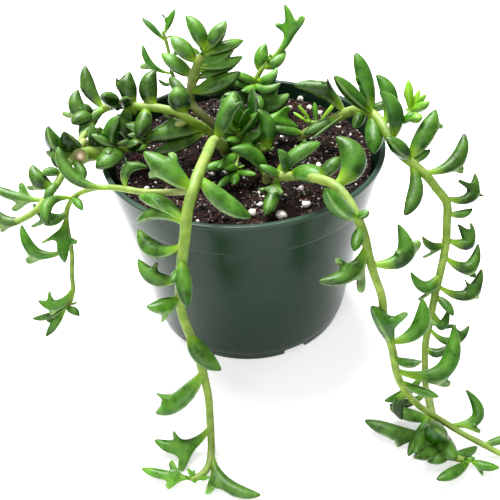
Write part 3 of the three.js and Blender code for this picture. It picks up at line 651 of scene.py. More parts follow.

# The plant, in millimetres and degrees. A stem has how fresh its leaves are, from dark to bright, the
# strength of their waxy bloom with its painted top light, and its branches. A knot is a swelling: distance
# along the stem and radius.
# A branch has its thickness at the foot and the end, its route, its leaves and the way it ends. A bunch gives
# the leaves a piece of their own. A leaf is distance along the branch, heading, rise, length, width, sag,
# sway and then its fins. A fin is share of the leaf's length, turn clockwise from the top, and reach.
stems = {
    "trailFront": {
        "node": "trail_front",
        "fresh": 0.4,
        "bloomAndTopLight": 0.45,
        "branches": [{
            "thick": (4.2, 2.6),
            "route": [
                (-7, 2, 62), (-7, 1, 74), (-8, -14, 87), (-10, -26, 95), (-12, -42, 99), (-14, -51, 99),
                (-16, -58, 97), (-18, -62, 92), (-19, -65, 86), (-21, -66, 76), (-23, -66, 63),
                (-23, -67, 54), (-21, -69, 46), (-19, -70, 36), (-17, -74, 22), (-17, -76, 13),
                (-17, -81, 6), (-17, -86, 4), (-18, -91, 3), (-21, -95, 3), (-25, -96, 3),
            ],
            "leaves": [
                (43, 50, 50, 18, 6, -1, 1, (0.8, -90, 3.5), (0.75, 90, 3)),
                (80, 150, 30, 19, 7, 0, 0, (0.55, 60, 5), (0.6, -120, 4.5)), (74, -30, -30, 21, 6.5, 1, 1),
                (91, 150, -15, 20, 5, -3, 2), (90, 140, 5, 20, 5, -1, 1, (0.5, -45, 3.5)),
                (97, 140, -10, 21, 5.5, 4, -3), (111, 160, 20, 15, 5, 3, -2, (0.6, 45, 4.5)),
                (106, -110, 0, 8, 3, 0, 0), (102, -85, -40, 16, 4.8, 0, 0.5),
                (119, -150, 10, 12, 5.5, 1, -1, (0.5, -120, 5)), (133, -45, -30, 17, 6, 2, 1),
                (151, -160, -35, 23, 7, 1, -2, (0.75, 45, 6)),
                (174, -175, -10, 21, 5, 3, -4, (0.65, 45, 5.5), (0.45, -105, 8)),
                (195, 165, 0, 20, 3.5, 0, -1, (0.4, 45, 5), (0.4, -105, 4)),
                (183, -45, -5, 24, 4.5, 1, 5, (0.35, 90, 7)),
            ],
            "end": "bud",
        }, {
            "thick": (2.2, 1.6),
            "route": [
                (-16, -58, 97), (-20, -55, 95), (-25, -52, 93), (-33, -48, 91), (-40, -44, 90),
                (-46, -40, 88), (-52, -36, 85), (-58, -33, 81), (-62, -31, 76), (-64, -32, 71),
                (-64, -34, 64), (-64, -36, 57), (-65, -39, 50), (-65, -42, 45), (-67, -44, 40),
                (-69, -45, 38),
            ],
            "leaves": [
                (27, 30, 30, 10, 3.5, -3, -3, (0.5, -45, 3)), (34, 150, 30, 22, 4.5, 3, -4),
                (55, -60, 0, 9, 3, -1, 0), (55, -115, -5, 15, 4, -3, 4), (61, -140, -10, 10, 3, 1, -1),
                (63, 170, 20, 12, 3.5, 2, -2, (0.5, -135, 6)),
                (65, -90, -35, 16, 4, 0, 1, (0.4, 75, 7), (0.45, -90, 5)),
                (76, 160, 20, 20, 4, 5, -5, (0.5, -135, 5)),
                (91, -170, -15, 14, 4, 3, -3, (0.7, 45, 5), (0.65, -135, 3)), (98, -170, -15, 15, 3, 1, -1),
                (101, -140, -35, 12, 3.5, 0, 0, (0.5, 60, 3)), (100, -40, 0, 7, 3, -1, 0),
            ],
            "end": "bud",
        }],
    },
    "trailLeft": {
        "node": "trail_left",
        "fresh": 0.22,
        "bloomAndTopLight": 0.45,
        "branches": [{
            "thick": (3.4, 2.8),
            "route": [
                (-9, 7, 62), (-9, 6, 74), (-14, 1, 85), (-19, -3, 91), (-23, -2, 94), (-30, 0, 95),
                (-37, 2, 95), (-45, 6, 94), (-50, 7, 93), (-54, 7, 91), (-56, 3, 89), (-58, -3, 88),
                (-60, -9, 87),
            ],
            "leaves": [
                (25, -165, 0, 23, 8.5, -1.5, 0.5, (0.5, 20, 6.5)), (24, -160, -10, 22, 5.5, 1, -1),
                (70, 120, 45, 18, 5, 1, -2, (0.5, -100, 2)), (65, -100, 40, 14, 6, -1, 0),
                (56, 100, 50, 13, 6, 0, -2, (0.65, -90, 4)), (48, 85, 50, 14, 6.5, 0, -3),
                (37, 110, 55, 11, 7.5, 0, 0), (74, 135, 40, 12, 6, 2, -4, (0.4, -120, 6)),
                (69, -145, -30, 15, 5.5, -1, 1), (75, -130, 10, 11, 6, -1, 1), (76, 165, 65, 7, 3.5, 0, 0),
                (78, -120, -10, 9, 4, 0, -1), (57, 130, -80, 11, 4, 0, 0), (61, -75, 40, 10, 4.5, 0, 0),
                (64, -90, 20, 6, 3.5, 0, 0), (52, -110, -35, 13, 6, 0, -1), (59, -120, -45, 11, 5, 0, 0),
            ],
            "end": "plain",
        }, {
            "thick": (2.6, 6.2),
            "route": [
                (-20, -3, 91), (-26, -2, 88), (-31, -2, 86), (-34, -3, 85), (-39, -4, 83), (-44, -6, 83),
                (-49, -8, 83), (-54, -9, 83), (-57, -12, 84), (-58, -18, 87),
            ],
            "leaves": [
                (24, -60, 30, 9, 6, 0, 0), (22, 140, 60, 10, 5, 0, 0), (33, -75, 20, 8, 5, 0, 0),
                (38, 60, 50, 10, 5, 0, 0), (31, 10, 70, 14, 6.5, -2, -1, (0.4, 0, 5)),
                (28, -120, 0, 15, 7.5, 0, -1), (36, 115, 75, 10, 5, 0, 0, (0.4, -90, 3)),
                (14, -170, 30, 12, 6, 0, 0, (0.35, 0, 5)), (16, -145, 25, 10, 4.5, 0, 0),
                (16, -145, 10, 14, 3, 0, 0), (20, -85, 10, 9, 5, 0, 0), (22, 150, 60, 13, 6, 0, 0),
                (27, -165, 35, 13, 6, 0, 0), (33, 170, 15, 12, 5.5, 0, 0),
            ],
            "end": "cut",
        }, {
            "thick": (3, 1.8),
            "route": [
                (-58, -6, 87), (-61, -17, 86), (-64, -25, 84), (-66, -29, 82), (-69, -33, 80),
                (-72, -37, 78), (-77, -39, 76), (-82, -40, 75), (-88, -40, 74), (-96, -38, 72),
            ],
            "leaves": [
                (31, 170, 15, 19, 4, 1, -1, (0.4, -135, 5), (0.4, 45, 5)),
                (39, 170, 15, 13, 4, 3, -2, (0.45, -135, 4)), (25, 145, 35, 11, 5.5, 1, -2, (0.4, -135, 5)),
                (7, -170, 55, 14, 6.5, 3, -1), (4, -110, 53, 13, 6, 2, 0), (10, -170, 20, 10, 4.5, 1, 0),
                (23, -115, -20, 9, 3.5, -1, 0), (20, -150, 20, 7, 4, -1, 1), (17, 130, 45, 8, 3.5, 1, -1),
                (49, -170, -10, 12, 3.5, 1, -1, (0.6, -135, 2)),
                (56, 155, 25, 11, 3.5, 1, -1, (0.65, 45, 2)), (12, -60, -25, 10, 3.5, 0, -1),
            ],
            "end": "bud",
        }],
    },
    "shootUpright": {
        "node": "shoot_upright",
        "fresh": 0.35,
        "bloomAndTopLight": 0.6,
        "woody": True,
        "knots": [(43, 3)],
        "branches": [{
            "thick": (3.8, 2.8),
            "route": [
                (-11, 17, 62), (-11, 16, 74), (-13, 12, 82), (-16, 10, 87), (-19, 12, 90), (-19, 13, 95),
                (-17, 14, 101), (-15, 12, 107), (-12, 12, 111),
            ],
            "leaves": [
                (55, 125, 45, 15, 6, -1, 1), (50, 145, 35, 14, 7, 0, 0), (43, 155, 30, 15, 6.5, 0, 0),
                (45, 15, 25, 18, 7, 0, 0), (56, 25, 45, 13, 6.5, 0, 0),
                (37, 0, 20, 21, 7.5, 1, 1, (0.4, -30, 4)), (48, 10, 5, 18, 5, 1, 1),
                (42, 15, 10, 18, 4.5, 0, 0), (54, 25, 5, 17, 5.5, 0, 0), (35, 125, 15, 14, 4.5, 0, -1),
            ],
            "end": "bud",
        }],
    },
    "shootThin": {
        "node": "shoot_thin",
        "fresh": 0.5,
        "bloomAndTopLight": 0.1,
        "branches": [{
            "thick": (1.8, 1.4),
            "route": [
                (-24, 36, 62), (-24, 37, 74), (-26, 39, 84), (-28, 39, 91), (-28, 40, 97), (-29, 42, 103),
                (-30, 44, 107),
            ],
            "leaves": [
                (42, 145, 35, 14, 3, 0, 0), (45, 45, 50, 11, 3, 0, 0, (0.5, -60, 4)),
                (29, 145, 35, 17, 3, 2, -3, (0.55, -135, 4)), (26, 175, 5, 7, 2, 2, -1),
                (35, 60, 25, 10, 2.5, 0, 1),
            ],
            "end": "bud",
        }],
    },
    "shootBack": {
        "node": "shoot_back",
        "fresh": 0.45,
        "bloomAndTopLight": 0.6,
        "branches": [{
            "thick": (2.8, 2.0),
            "route": [
                (4, 30, 62), (4, 31, 74), (5, 33, 80), (6, 34, 86), (9, 36, 91), (13, 39, 95),
            ],
            "leaves": [
                (36, 55, 55, 23, 4, 2.5, 5, (0.68, -85, 6), (0.68, 90, 6)), (30, 65, 50, 12, 5.5, 0, -1),
                (32, 25, 25, 12, 5.5, 1, 1), (27, -175, 25, 10, 5, 1, -1), (27, -5, 30, 10, 5, 2, 2),
                (25, -25, 10, 12, 5, 2, 2), (25, -125, 5, 10, 4.5, 1, -1), (19, -5, 20, 11, 6, 2, 2),
                (22, -175, 25, 11, 5.5, -1, 0), (18, -165, 20, 13, 5.5, 0, 0), (20, -75, -5, 12, 5, -1, 0),
                (15, -5, 20, 17, 8, 2, 1, (0.4, -30, 4)),
            ],
            "end": "bud",
        }],
    },
    "crown": {
        "node": "crown",
        "fresh": 0.5,
        "bloomAndTopLight": 0.4,
        "branches": [{
            "thick": (3, 2.4),
            "route": [
                (-1, 2, 62), (-1, 1, 74), (-1, 0, 80), (-1, 0, 86),
            ],
            "leaves": [
                (21, 140, 5, 10, 5, 0, 0), (20, 65, 35, 12, 3, 1, 2), (22, 85, 50, 10, 3, 0, -1),
                (22, 125, 30, 13, 4.5, 0, -1), (19, 20, 20, 11, 4.5, 2, 2), (23, 170, 85, 11, 3, 0, 0),
                (23, 40, 80, 11, 3, 0, 0), (22, 20, 60, 9, 4, 0, 0), (22, 25, 70, 17, 5, 2, 1),
                (17, -60, 15, 9, 4, 0, 0), (18, -120, 25, 10, 4.5, 0, 0), (24, -100, 70, 11, 4.5, 0, 0),
                (20, -20, 55, 13, 5, 0, 0), (18, 60, 40, 13, 5.5, 0, 0), (16, -30, 35, 11, 5.5, 0, 0),
                (21, -160, 50, 11, 4.5, 0, 0), (14, 150, 30, 10, 5, 0, 0), (23, -50, 60, 12, 4, 0, 0),
                (22, 100, 70, 15, 4, 0, 0), (15, 95, 20, 13, 5, 0, 0),
            ],
            "end": "bud",
        }, {
            "thick": (2.2, 1.8),
            "route": [
                (-1, 1, 77), (-2, -6, 78), (-3, -12, 77), (-3, -18, 77),
            ],
            "leaves": [
                (13, -160, 5, 13, 4.5, 0, 0), (7, -120, 5, 15, 4.5, 0, 0), (19, -35, 10, 9, 3, 0, 0),
                (19, -125, 0, 12, 3, 0, 0), (19, -95, 5, 10, 3, 0, 0), (15, -110, 25, 11, 3.5, 0, 0),
                (9, 0, 15, 6, 3, 0, 0),
            ],
            "end": "bud",
        }, {
            "thick": (2.4, 2.0),
            "route": [
                (-1, 1, 76), (4, -2, 77), (8, -4, 77), (10, -5, 79),
            ],
            "leaves": [
                (11, 110, 55, 16, 5.5, -1, 3), (10, 30, 15, 17, 5, -5, -7, (0.7, -30, 6)),
                (10, 145, 50, 11, 3, 1, -1),
            ],
            "end": "bud",
        }],
    },
    "trailRight": {
        "node": "trail_right",
        "fresh": 0.36,
        "bloomAndTopLight": 0.35,
        "branches": [{
            "thick": (4.0, 2.2),
            "route": [
                (24, 11, 62), (24, 10, 74), (30, 6, 80), (37, 3, 86), (42, 0, 90), (46, -5, 92),
                (49, -11, 92), (51, -18, 90), (54, -24, 86), (59, -28, 83), (64, -31, 79), (67, -32, 75),
                (71, -34, 70), (71, -37, 64), (71, -40, 56), (69, -45, 48), (67, -49, 40), (65, -54, 32),
                (63, -59, 24), (63, -63, 16), (63, -67, 10), (64, -72, 6), (64, -77, 4),
            ],
            "leaves": [
                (48, 110, 50, 23, 6, 0, 1, (0.55, -90, 2)), (49, 170, 45, 21, 6, 0, 0),
                (56, 95, 45, 19, 5.5, 0, 4), (63, 125, 65, 18, 6, -2, 3),
                (72, 45, 42, 20, 6.5, 0, 1, (0.7, 120, 4)), (73, 170, 45, 13, 6, -1, 0),
                (74, 25, 25, 8, 3.2, 0, 0), (46, -10, 20, 9, 4, -1, 0), (73, -105, -35, 20, 5, 1, -3),
                (79, 30, 30, 20, 5, 3, 4, (0.45, 135, 4)),
                (91, 25, 25, 14, 4, 4, 4, (0.6, 135, 4), (0.7, -45, 7)), (97, 5, 5, 9, 3.5, 1, 1),
                (107, 40, 35, 7, 4.5, 4, 6, (0.7, 105, 4)), (108, 170, 15, 9, 3.5, 2, -2, (0.4, -135, 5)),
                (113, 10, 15, 13, 4.5, 5, 5, (0.45, 135, 4)), (119, 180, 5, 11, 4.5, 4, -4, (0.4, -135, 5)),
                (124, 10, 15, 17, 4.5, 5, 5, (0.65, -45, 5), (0.6, 135, 3)),
                (128, -60, -15, 10, 3.5, 0, -1), (133, 0, 0, 6, 3.5, 5, 4, (0.4, 135, 6)),
                (140, 0, 0, 15, 3.5, 4, 4, (0.7, -45, 5)), (147, -15, 15, 8, 3.5, 2, 2),
                (14, -180, 15, 15, 5, 0, 0), (31, -160, -15, 15, 5, 0, 0), (35, -150, -20, 18, 1.2, 0, 0),
                (34, 160, 25, 22, 6.5, -3, 2, (0.45, 0, 5)), (41, -110, -15, 10, 4, 0, -1),
                (47, -95, -25, 18, 6, 0, -1, (0.4, -80, 4)), (157, -165, -35, 19, 3.5, 1, -2),
            ],
            "end": "plain",
        }, {
            "thick": (2, 1.4),
            "fresh": 0.8,
            "route": [
                (50, -16, 91), (54, -18, 92), (58, -15, 94), (61, -10, 95),
            ],
            "leaves": [
                (14, 95, 60, 11, 3, 0, 0), (14, -40, 40, 9, 4, 0, 0), (16, -30, 55, 8, 2.5, 0, 0),
                (16, 125, 50, 7, 2, 0, 0), (16, 40, 60, 7, 2, 0, 0), (11, -65, 20, 8, 4.5, 0, 0),
                (7, -10, 50, 6, 3.5, 0, 0),
            ],
            "end": "bud",
        }, {
            "thick": (1.8, 1.4),
            "fresh": 0.8,
            "route": [
                (33, 5, 82), (29, 8, 81), (25, 11, 80),
            ],
            "leaves": [
                (7, 160, 50, 9, 1.6, 0, 0), (5, 95, 55, 8, 1.8, 0, 0), (4, 20, 45, 11, 2, 0, 0),
                (9, 150, 25, 7, 1.5, 0, 0),
            ],
            "end": "bud",
        }, {
            "bunch": "HeapLeaves",
            "thick": (3, 2.6),
            "route": [
                (63, -67, 10), (64, -72, 6), (64, -77, 4), (65, -82, 3), (65, -88, 3), (68, -93, 3),
                (73, -94, 3),
            ],
            "leaves": [
                (19, 164, 4, 27, 5.5, 0.3, -2, (0.5, -110, 4)), (9, -125, -5, 21, 3.5, 0, 0),
                (14, -125, 15, 20, 3.5, -1, 1), (19, -135, 60, 16, 8.5, 0, 0),
                (22, -180, 35, 10, 4.5, 1, -2), (26, -155, 5, 9, 4.5, -1, -1), (36, -150, 5, 16, 4, 0, -1),
                (14, -80, 8, 17, 7.5, 1, 1), (20, -140, 18, 17, 4.5, 0, -2),
                (36, -25, 5, 10, 3.5, 0, 1, (0.4, 120, 3)), (2, -180, -25, 15, 3.5, 1, -1),
                (12, 163, 8, 16, 5, 0.5, -0.5), (27, -5, 30, 10, 3.5, 2, 0),
            ],
            "end": "bud",
        }],
    },
    "trailNearRight": {
        "node": "trail_near_right",
        "fresh": 0.42,
        "bloomAndTopLight": 0.4,
        "branches": [{
            "thick": (3.4, 2.0),
            "route": [
                (8, -19, 62), (8, -19, 75), (10, -26, 81), (13, -33, 84), (17, -39, 88), (22, -45, 91),
                (26, -49, 92), (29, -53, 92), (32, -58, 90), (34, -63, 87), (36, -65, 82), (37, -68, 77),
                (39, -70, 70), (42, -71, 61), (43, -73, 52), (46, -76, 42), (48, -78, 32), (52, -78, 22),
                (58, -79, 14), (65, -82, 10), (72, -86, 7), (78, -89, 5), (84, -92, 3), (91, -95, 3),
                (98, -96, 3), (106, -97, 3),
            ],
            "leaves": [
                (11, 170, 45, 18, 6.5, -3, 3), (26, 20, 25, 19, 6, -1, -1, (0.7, -45, 2)),
                (33, 135, 70, 10, 4, -1, 1), (35, -45, 15, 17, 7, -2, -1), (31, 165, 25, 9, 3.5, 0, 0),
                (50, 30, 30, 10, 5, 0, 0), (28, -110, -20, 17, 4.8, 1, 0, (0.4, 60, 5), (0.4, -60, 4)),
                (57, 85, 40, 16, 7.5, 0, 6), (71, -175, 50, 17, 6.5, 1, 0), (73, -110, -15, 10, 3.5, 0, 0),
                (70, -35, 40, 5, 3, 0, 0), (79, -155, -25, 19, 5, 3, -3, (0.5, 45, 6), (0.4, -135, 7)),
                (86, 40, 40, 15, 5, 4, 6, (0.5, -60, 3.5), (0.65, 120, 4.5)),
                (119, 165, 65, 19, 6, -1, 1, (0.5, 0, 8.5)), (117, 40, 35, 18, 5, 3, 4, (0.6, 120, 4.5)),
                (123, -35, 20, 10, 3.5, 1, 1), (129, 25, 25, 25, 5.5, 7, 7, (0.4, 135, 6)),
                (134, -30, -5, 14, 3.5, 1, 0), (163, 50, 45, 14, 4, 4, 7, (0.2, 45, 5)),
                (141, -105, -65, 11, 3.5, 0, 2), (176, 5, 20, 10, 3, 1, 0),
                (183, 25, 25, 11, 3, 1, 1, (0.65, 135, 4)), (191, -30, 0, 11, 3, 0, 1, (0.5, 105, 3)),
                (198, 10, 25, 12, 3, 2, -1, (0.5, -15, 4)), (204, 0, 5, 12, 3, 0, 1),
            ],
            "end": "bud",
        }],
    },
}

leafSettings = {
    "sides": 8,
    # share of the length, share of the half width, for a plump leaf and for a slender one
    "outline": [
        (0.0, 0.30, 0.34), (0.05, 0.34, 0.36), (0.13, 0.54, 0.43), (0.24, 0.80, 0.60), (0.37, 0.98, 0.82),
        (0.50, 1.04, 0.97), (0.63, 1.0, 1.03), (0.75, 0.86, 0.97), (0.85, 0.64, 0.80), (0.93, 0.38, 0.50),
        (0.975, 0.17, 0.25),
    ],
    # reach at the top, between top and side, at the side, between side and underside, at the underside
    "section": (0.74, 0.80, 1.14, 0.80, 0.98),
    "plump": 0.34,
    "slender": 0.2,
    "skinDraw": 1.14,
    "lumps": 0.08,
    "finSweep": 0.35,
    # share of the way out, and size beside the face that the fin grows from
    "finSteps": [(0.20, 0.62), (0.50, 0.50), (0.84, 0.42), (1.0, 0.28)],
    "finZone": (0.1, 0.9),
    "midribSteps": 60,
    "freshSpread": 0.14,
    "freshGrowth": 0.1,
    "smoothing": 2,
    "seed": 11,
    "rest": 0.15,
}
leafLayers = ("along", "ridge", "edge", "fresh")

stemSettings = {
    "sides": 8,
    "step": 2.4,
    "skinDraw": 1.08,
    "curveSteps": 12,
    "nodeSwell": 0.1,
    "nodeReach": 1.7,
    "knotReach": 3,
    "endTaper": 1.3,
    "smoothing": 1,
    "rest": 0.1,
    # inset, step outwards and tint of each ring on a cut end, from its edge to its middle
    "cutRings": [
        (0.15, 0.2, 0.0), (0.45, -0.1, 0.3), (0.6, -0.35, 0.5), (0.3, 0.25, 0.6), (0.7, 0.1, 0.8),
        (0.5, -0.1, 1.0),
    ],
}

budSettings = {
    "count": 6,
    "turn": 137.5,
    "unevenness": 15,
    "apart": 0.6,
    "rise": 20,
    "riseStep": 10,
    "largest": 5,
    "beside": 2,
    "shrink": 0.1,
    "plump": 0.34,
    "sag": 0.3,
    "fresher": 0.35,
}


def pathThrough(route):
    # close points along the smooth curve through a route, with the distance of each from the foot
    points = [Vector(spot) for spot in route]
    points = [2 * points[0] - points[1]] + points + [2 * points[-1] - points[-2]]
    count = stemSettings["curveSteps"] + 1
    path = []
    for before, start, end, after in zip(points, points[1:], points[2:], points[3:]):
        leave, arrive = start + (end - before) / 6, end - (after - start) / 6
        path += interpolate_bezier(start, leave, arrive, end, count)[:-1]
    path.append(points[-2])
    distances = [0.0]
    for a, b in zip(path, path[1:]):
        distances.append(distances[-1] + (b - a).length)
    return path, distances


def pointAt(path, distances, distance):
    distance = max(0.0, min(distance, distances[-1]))
    for n in range(1, len(path)):
        if distances[n] >= distance:
            share = (distance - distances[n - 1]) / (distances[n] - distances[n - 1])
            return path[n - 1].lerp(path[n], share)
    return path[-1].copy()


def leafFrames(root, row):
    # points and directions along the midrib of a leaf
    heading, rise, length = row[1:4]
    sag, sway = row[5:7]
    h, r = math.radians(heading), math.radians(rise)
    ahead = Vector((math.cos(r) * math.cos(h), math.cos(r) * math.sin(h), math.sin(r)))
    top = Vector((-math.sin(r) * math.cos(h), -math.sin(r) * math.sin(h), math.cos(r)))
    right = ahead.cross(top)
    tip = root + ahead * length
    bend = (root + tip) / 2 - 2 * sag * top + 2 * sway * right
    count = leafSettings["midribSteps"] + 1
    midrib = interpolate_bezier(root, root.lerp(bend, 2 / 3), tip.lerp(bend, 2 / 3), tip, count)
    return framesOn(midrib, top)


def growFin(bm, row, fin, frames, places, edge):
    # draws the free face nearest to the wanted spot out into a fin, in ever smaller steps
    share, turn, reach = fin
    length, width = row[3:5]
    least, most = leafSettings["finZone"]

    def miss(vert):
        apart = abs((places[vert][1] - turn + 180) % 360 - 180)
        return abs(places[vert][0] - share) * length / width + apart / 60

    free = [vert for vert in places if vert.is_valid and len(vert.link_faces) == 4]
    free = [vert for vert in free if least < places[vert][0] < most]
    if not free:
        return
    heel = min(free, key=miss)
    patch = list(heel.link_faces)
    start, normal = heel.co.copy(), heel.normal.copy()
    station = min(0.95, share + leafSettings["finSweep"] * reach / length)
    spot, forward, over, side = frames[round(station * leafSettings["midribSteps"])]
    out = (over * math.cos(math.radians(turn)) + side * math.sin(math.radians(turn))).normalized()
    end = spot + out * reach
    last = 1
    for n, (step, size) in enumerate(leafSettings["finSteps"]):
        result = bmesh.ops.extrude_face_region(bm, geom=patch)["geom"]
        bmesh.ops.delete(bm, geom=patch, context="FACES")
        patch = [item for item in result if isinstance(item, bmesh.types.BMFace)]
        verts = [item for item in result if isinstance(item, bmesh.types.BMVert)]
        centre = sum((vert.co for vert in verts), Vector()) / len(verts)
        bmesh.ops.scale(bm, vec=(size / last,) * 3, space=Matrix.Translation(-centre), verts=verts)
        if n == 1:
            swing = normal.rotation_difference((end - start).normalized())
            bmesh.ops.rotate(bm, cent=centre, matrix=swing.to_matrix(), verts=verts)
        bmesh.ops.translate(bm, vec=start.lerp(end, step) - centre, verts=verts)
        for vert in verts:
            vert[edge] = max(vert[edge], step * 0.9)
        last = size


def leafBody(root, row, fresh, draw):
    settings = leafSettings
    length, width, fins = row[3], row[4], row[7:]
    frames = leafFrames(root, row)
    slim = (width / length - settings["slender"]) / (settings["plump"] - settings["slender"])
    slim = 1 - max(0, min(slim, 1))
    outline = [(full + (thin - full) * slim, share) for share, full, thin in settings["outline"]]
    bm = turned([(0, 0)] + outline + [(0, 1)], settings["sides"])
    along, ridge, edge, young = (layerOf(bm, item) for item in leafLayers)
    places = {}
    lump = Vector((draw.random(), draw.random(), draw.random())) * 50
    for vert in bm.verts:
        share, turn = vert.co.z, math.atan2(vert.co.y, vert.co.x)
        reach = math.hypot(vert.co.x, vert.co.y) * width / 2 * settings["skinDraw"]
        if reach > 0:
            places[vert] = (share, math.degrees(turn))
        reach *= settings["section"][round(abs(turn) / math.radians(45))]
        around = Vector((share * 3, math.cos(turn), math.sin(turn)))
        reach *= 1 + settings["lumps"] * noise.noise(lump + around)
        spot, forward, over, side = frames[round(share * settings["midribSteps"])]
        vert.co = spot + (over * math.cos(turn) + side * math.sin(turn)) * reach
        vert[along] = share
        vert[ridge] = 0.5 + 0.5 * math.cos(turn)  # 1 at the top, 0 at the underside
        vert[edge] = 1.0 if abs(math.sin(turn)) > 0.9 else 0.0
        vert[young] = fresh
    for fin in fins:
        growFin(bm, row, fin, frames, places, edge)
    settle(bm, settings["rest"])
    if bm.calc_volume(signed=True) < 0:
        bmesh.ops.reverse_faces(bm, faces=bm.faces)
    return bm


def settle(bm, lowest):
    # nothing reaches through the surface that the pot stands on
    for vert in bm.verts:
        vert.co.z = max(vert.co.z, lowest)
    bmesh.ops.recalc_face_normals(bm, faces=bm.faces)


leafFinish = {
    "body": [(0.05, "031201"), (0.30, "0a2b01"), (0.55, "215802"), (0.8, "4c8a06"), (1.0, "8cbe22")],
    "foot": "86ae14",
    "window": "164402",
    # painted shade colour for what faces down
    "paintedUnderShade": "0c2c00",
    # waxy bloom colour, laid on as painted top light
    "waxAndTopLightTint": "76ab40",
    # colour of the pale edge lines, partly the paler keel and partly painted highlight
    "pale": "a6c878",
    "tip": "2a3410",
    "roughness": 0.2,
    "waxRoughness": 0.16,
    "edgeStrength": 0.45,
    "gloss": 0.34,
}


def leafMaterial(name, bloomAndTopLight):
    finish = leafFinish
    material, tree, shader, place = newMaterial(name)
    along, ridge, edge, fresh = (attributeOf(tree, item) for item in leafLayers)
    mottle = noiseOf(tree, place, 190, 4, 0.6)
    fine = noiseOf(tree, place, 1300, 3, 0.6)
    tone = calc(tree, "ADD", fresh, calc(tree, "MULTIPLY", calc(tree, "SUBTRACT", mottle, 0.5), 0.6))
    body = ramp(tree, tone, finish["body"])
    foot = ramp(tree, along, [(0.06, 0.8), (0.30, 0.0)])
    body = mixed(tree, foot, body, colour(finish["foot"]))
    # the clear stripe along each side
    flank = ramp(tree, ridge, [(0.3, 0.0), (0.5, 0.5), (0.72, 0.0)])
    flank = calc(tree, "MULTIPLY", flank, ramp(tree, along, [(0.25, 0.0), (0.5, 1.0)]))
    body = mixed(tree, flank, body, colour(finish["window"]))
    # the waxy film with its painted top light lies on what faces up, pale lines partly of painted highlight
    # lie on the edges, and painted shade darkens what faces down
    film = ramp(tree, mottle, [(0.35, 0.35), (0.6, 1.0)])
    lying = calc(tree, "MULTIPLY", calc(tree, "ADD", facingUp(tree), 1), 0.5)
    # painted shade: what faces down is darkened
    shade = ramp(tree, lying, [(0.25, 0.5), (0.55, 0.0)])
    body = mixed(tree, shade, body, colour(finish["paintedUnderShade"]))
    # waxy bloom on what faces up, partly painted top light
    waxAndTopLight = calc(tree, "MULTIPLY", ramp(tree, lying, [(0.62, 0.0), (0.96, 1.0)]), film)
    body = mixed(tree, calc(tree, "MULTIPLY", waxAndTopLight, bloomAndTopLight), body, colour(finish["waxAndTopLightTint"]))
    # pale edge lines: partly the paler keel, partly painted highlight
    paleEdgeAndHighlight = calc(tree, "MULTIPLY", ramp(tree, edge, [(0.55, 0.0), (1.0, finish["edgeStrength"])]), film)
    body = mixed(tree, paleEdgeAndHighlight, body, colour(finish["pale"]))
    end = ramp(tree, along, [(0.94, 0.0), (1.0, 0.8)])
    body = mixed(tree, end, body, colour(finish["tip"]))
    # wax is rougher than the bare skin
    least = finish["roughness"]
    rough = calc(tree, "MULTIPLY", waxAndTopLight, finish["waxRoughness"])
    rough = calc(tree, "ADD", rough, ramp(tree, mottle, [(0.3, least), (0.7, least + 0.1)]))
    setInputs(tree, shader, {
        "Base Color": body,
        "Roughness": rough,
        "IOR": 1.45,
        "Specular IOR Level": finish["gloss"],
        "Subsurface Weight": 0.05,
        "Subsurface Radius": (0.4, 1.0, 0.1),
        "Subsurface Scale": 0.0012,
        "Normal": bumpOf(tree, calc(tree, "ADD", mottle, calc(tree, "MULTIPLY", fine, 0.25)), 0.5, 0.6),
    })
    return material


stemFinish = {
    "young": [(0.3, "50760a"), (0.5, "688a12"), (0.7, "849e2c")],
    "old": [(0.3, "80824c"), (0.5, "9a9a64"), (0.7, "b8b488")],
    # painted top light colour for what faces up
    "bloomAndTopLight": "a3b878",
    "spots": "7c8a3a",
    "pith": [(0.3, "6a7440"), (0.55, "847c50"), (0.8, "b08a70"), (1.0, "e4d4c0")],
}


def stemMaterial(name, woody):
    finish = stemFinish
    material, tree, shader, place = newMaterial(name)
    along = attributeOf(tree, "along")
    cut = attributeOf(tree, "cut")
    streak = noiseOf(tree, place, 260, 4, 0.6)
    fine = noiseOf(tree, place, 1500, 3, 0.6)
    # old bark at the foot, and on a woody stem most of the way
    age = ramp(tree, along, [(0.3, 1.0), (0.9, 0.3)] if woody else [(0.0, 0.75), (0.3, 0.1)])
    base = mixed(tree, age, ramp(tree, streak, finish["young"]), ramp(tree, streak, finish["old"]))
    # painted top light: what faces up is made paler
    bloomAndTopLight = ramp(tree, facingUp(tree), [(0.2, 0.0), (1.0, 0.35)])
    base = mixed(tree, bloomAndTopLight, base, colour(finish["bloomAndTopLight"]))
    spots = ramp(tree, fine, [(0.66, 0.0), (0.74, 0.4)])
    base = mixed(tree, spots, base, colour(finish["spots"]))
    opened = ramp(tree, cut, [(0.0, 0.0), (0.3, 0.9)])
    base = mixed(tree, opened, base, ramp(tree, cut, finish["pith"]))
    setInputs(tree, shader, {
        "Base Color": base,
        "Roughness": ramp(tree, streak, [(0.3, 0.38), (0.7, 0.5)]),
        "IOR": 1.42,
        "Specular IOR Level": 0.35,
        "Subsurface Weight": 0.1,
        "Subsurface Radius": (0.6, 1.0, 0.2),
        "Subsurface Scale": 0.0012,
        "Normal": bumpOf(tree, calc(tree, "ADD", streak, calc(tree, "MULTIPLY", fine, 0.3)), 0.4, 0.3),
    })
    return material


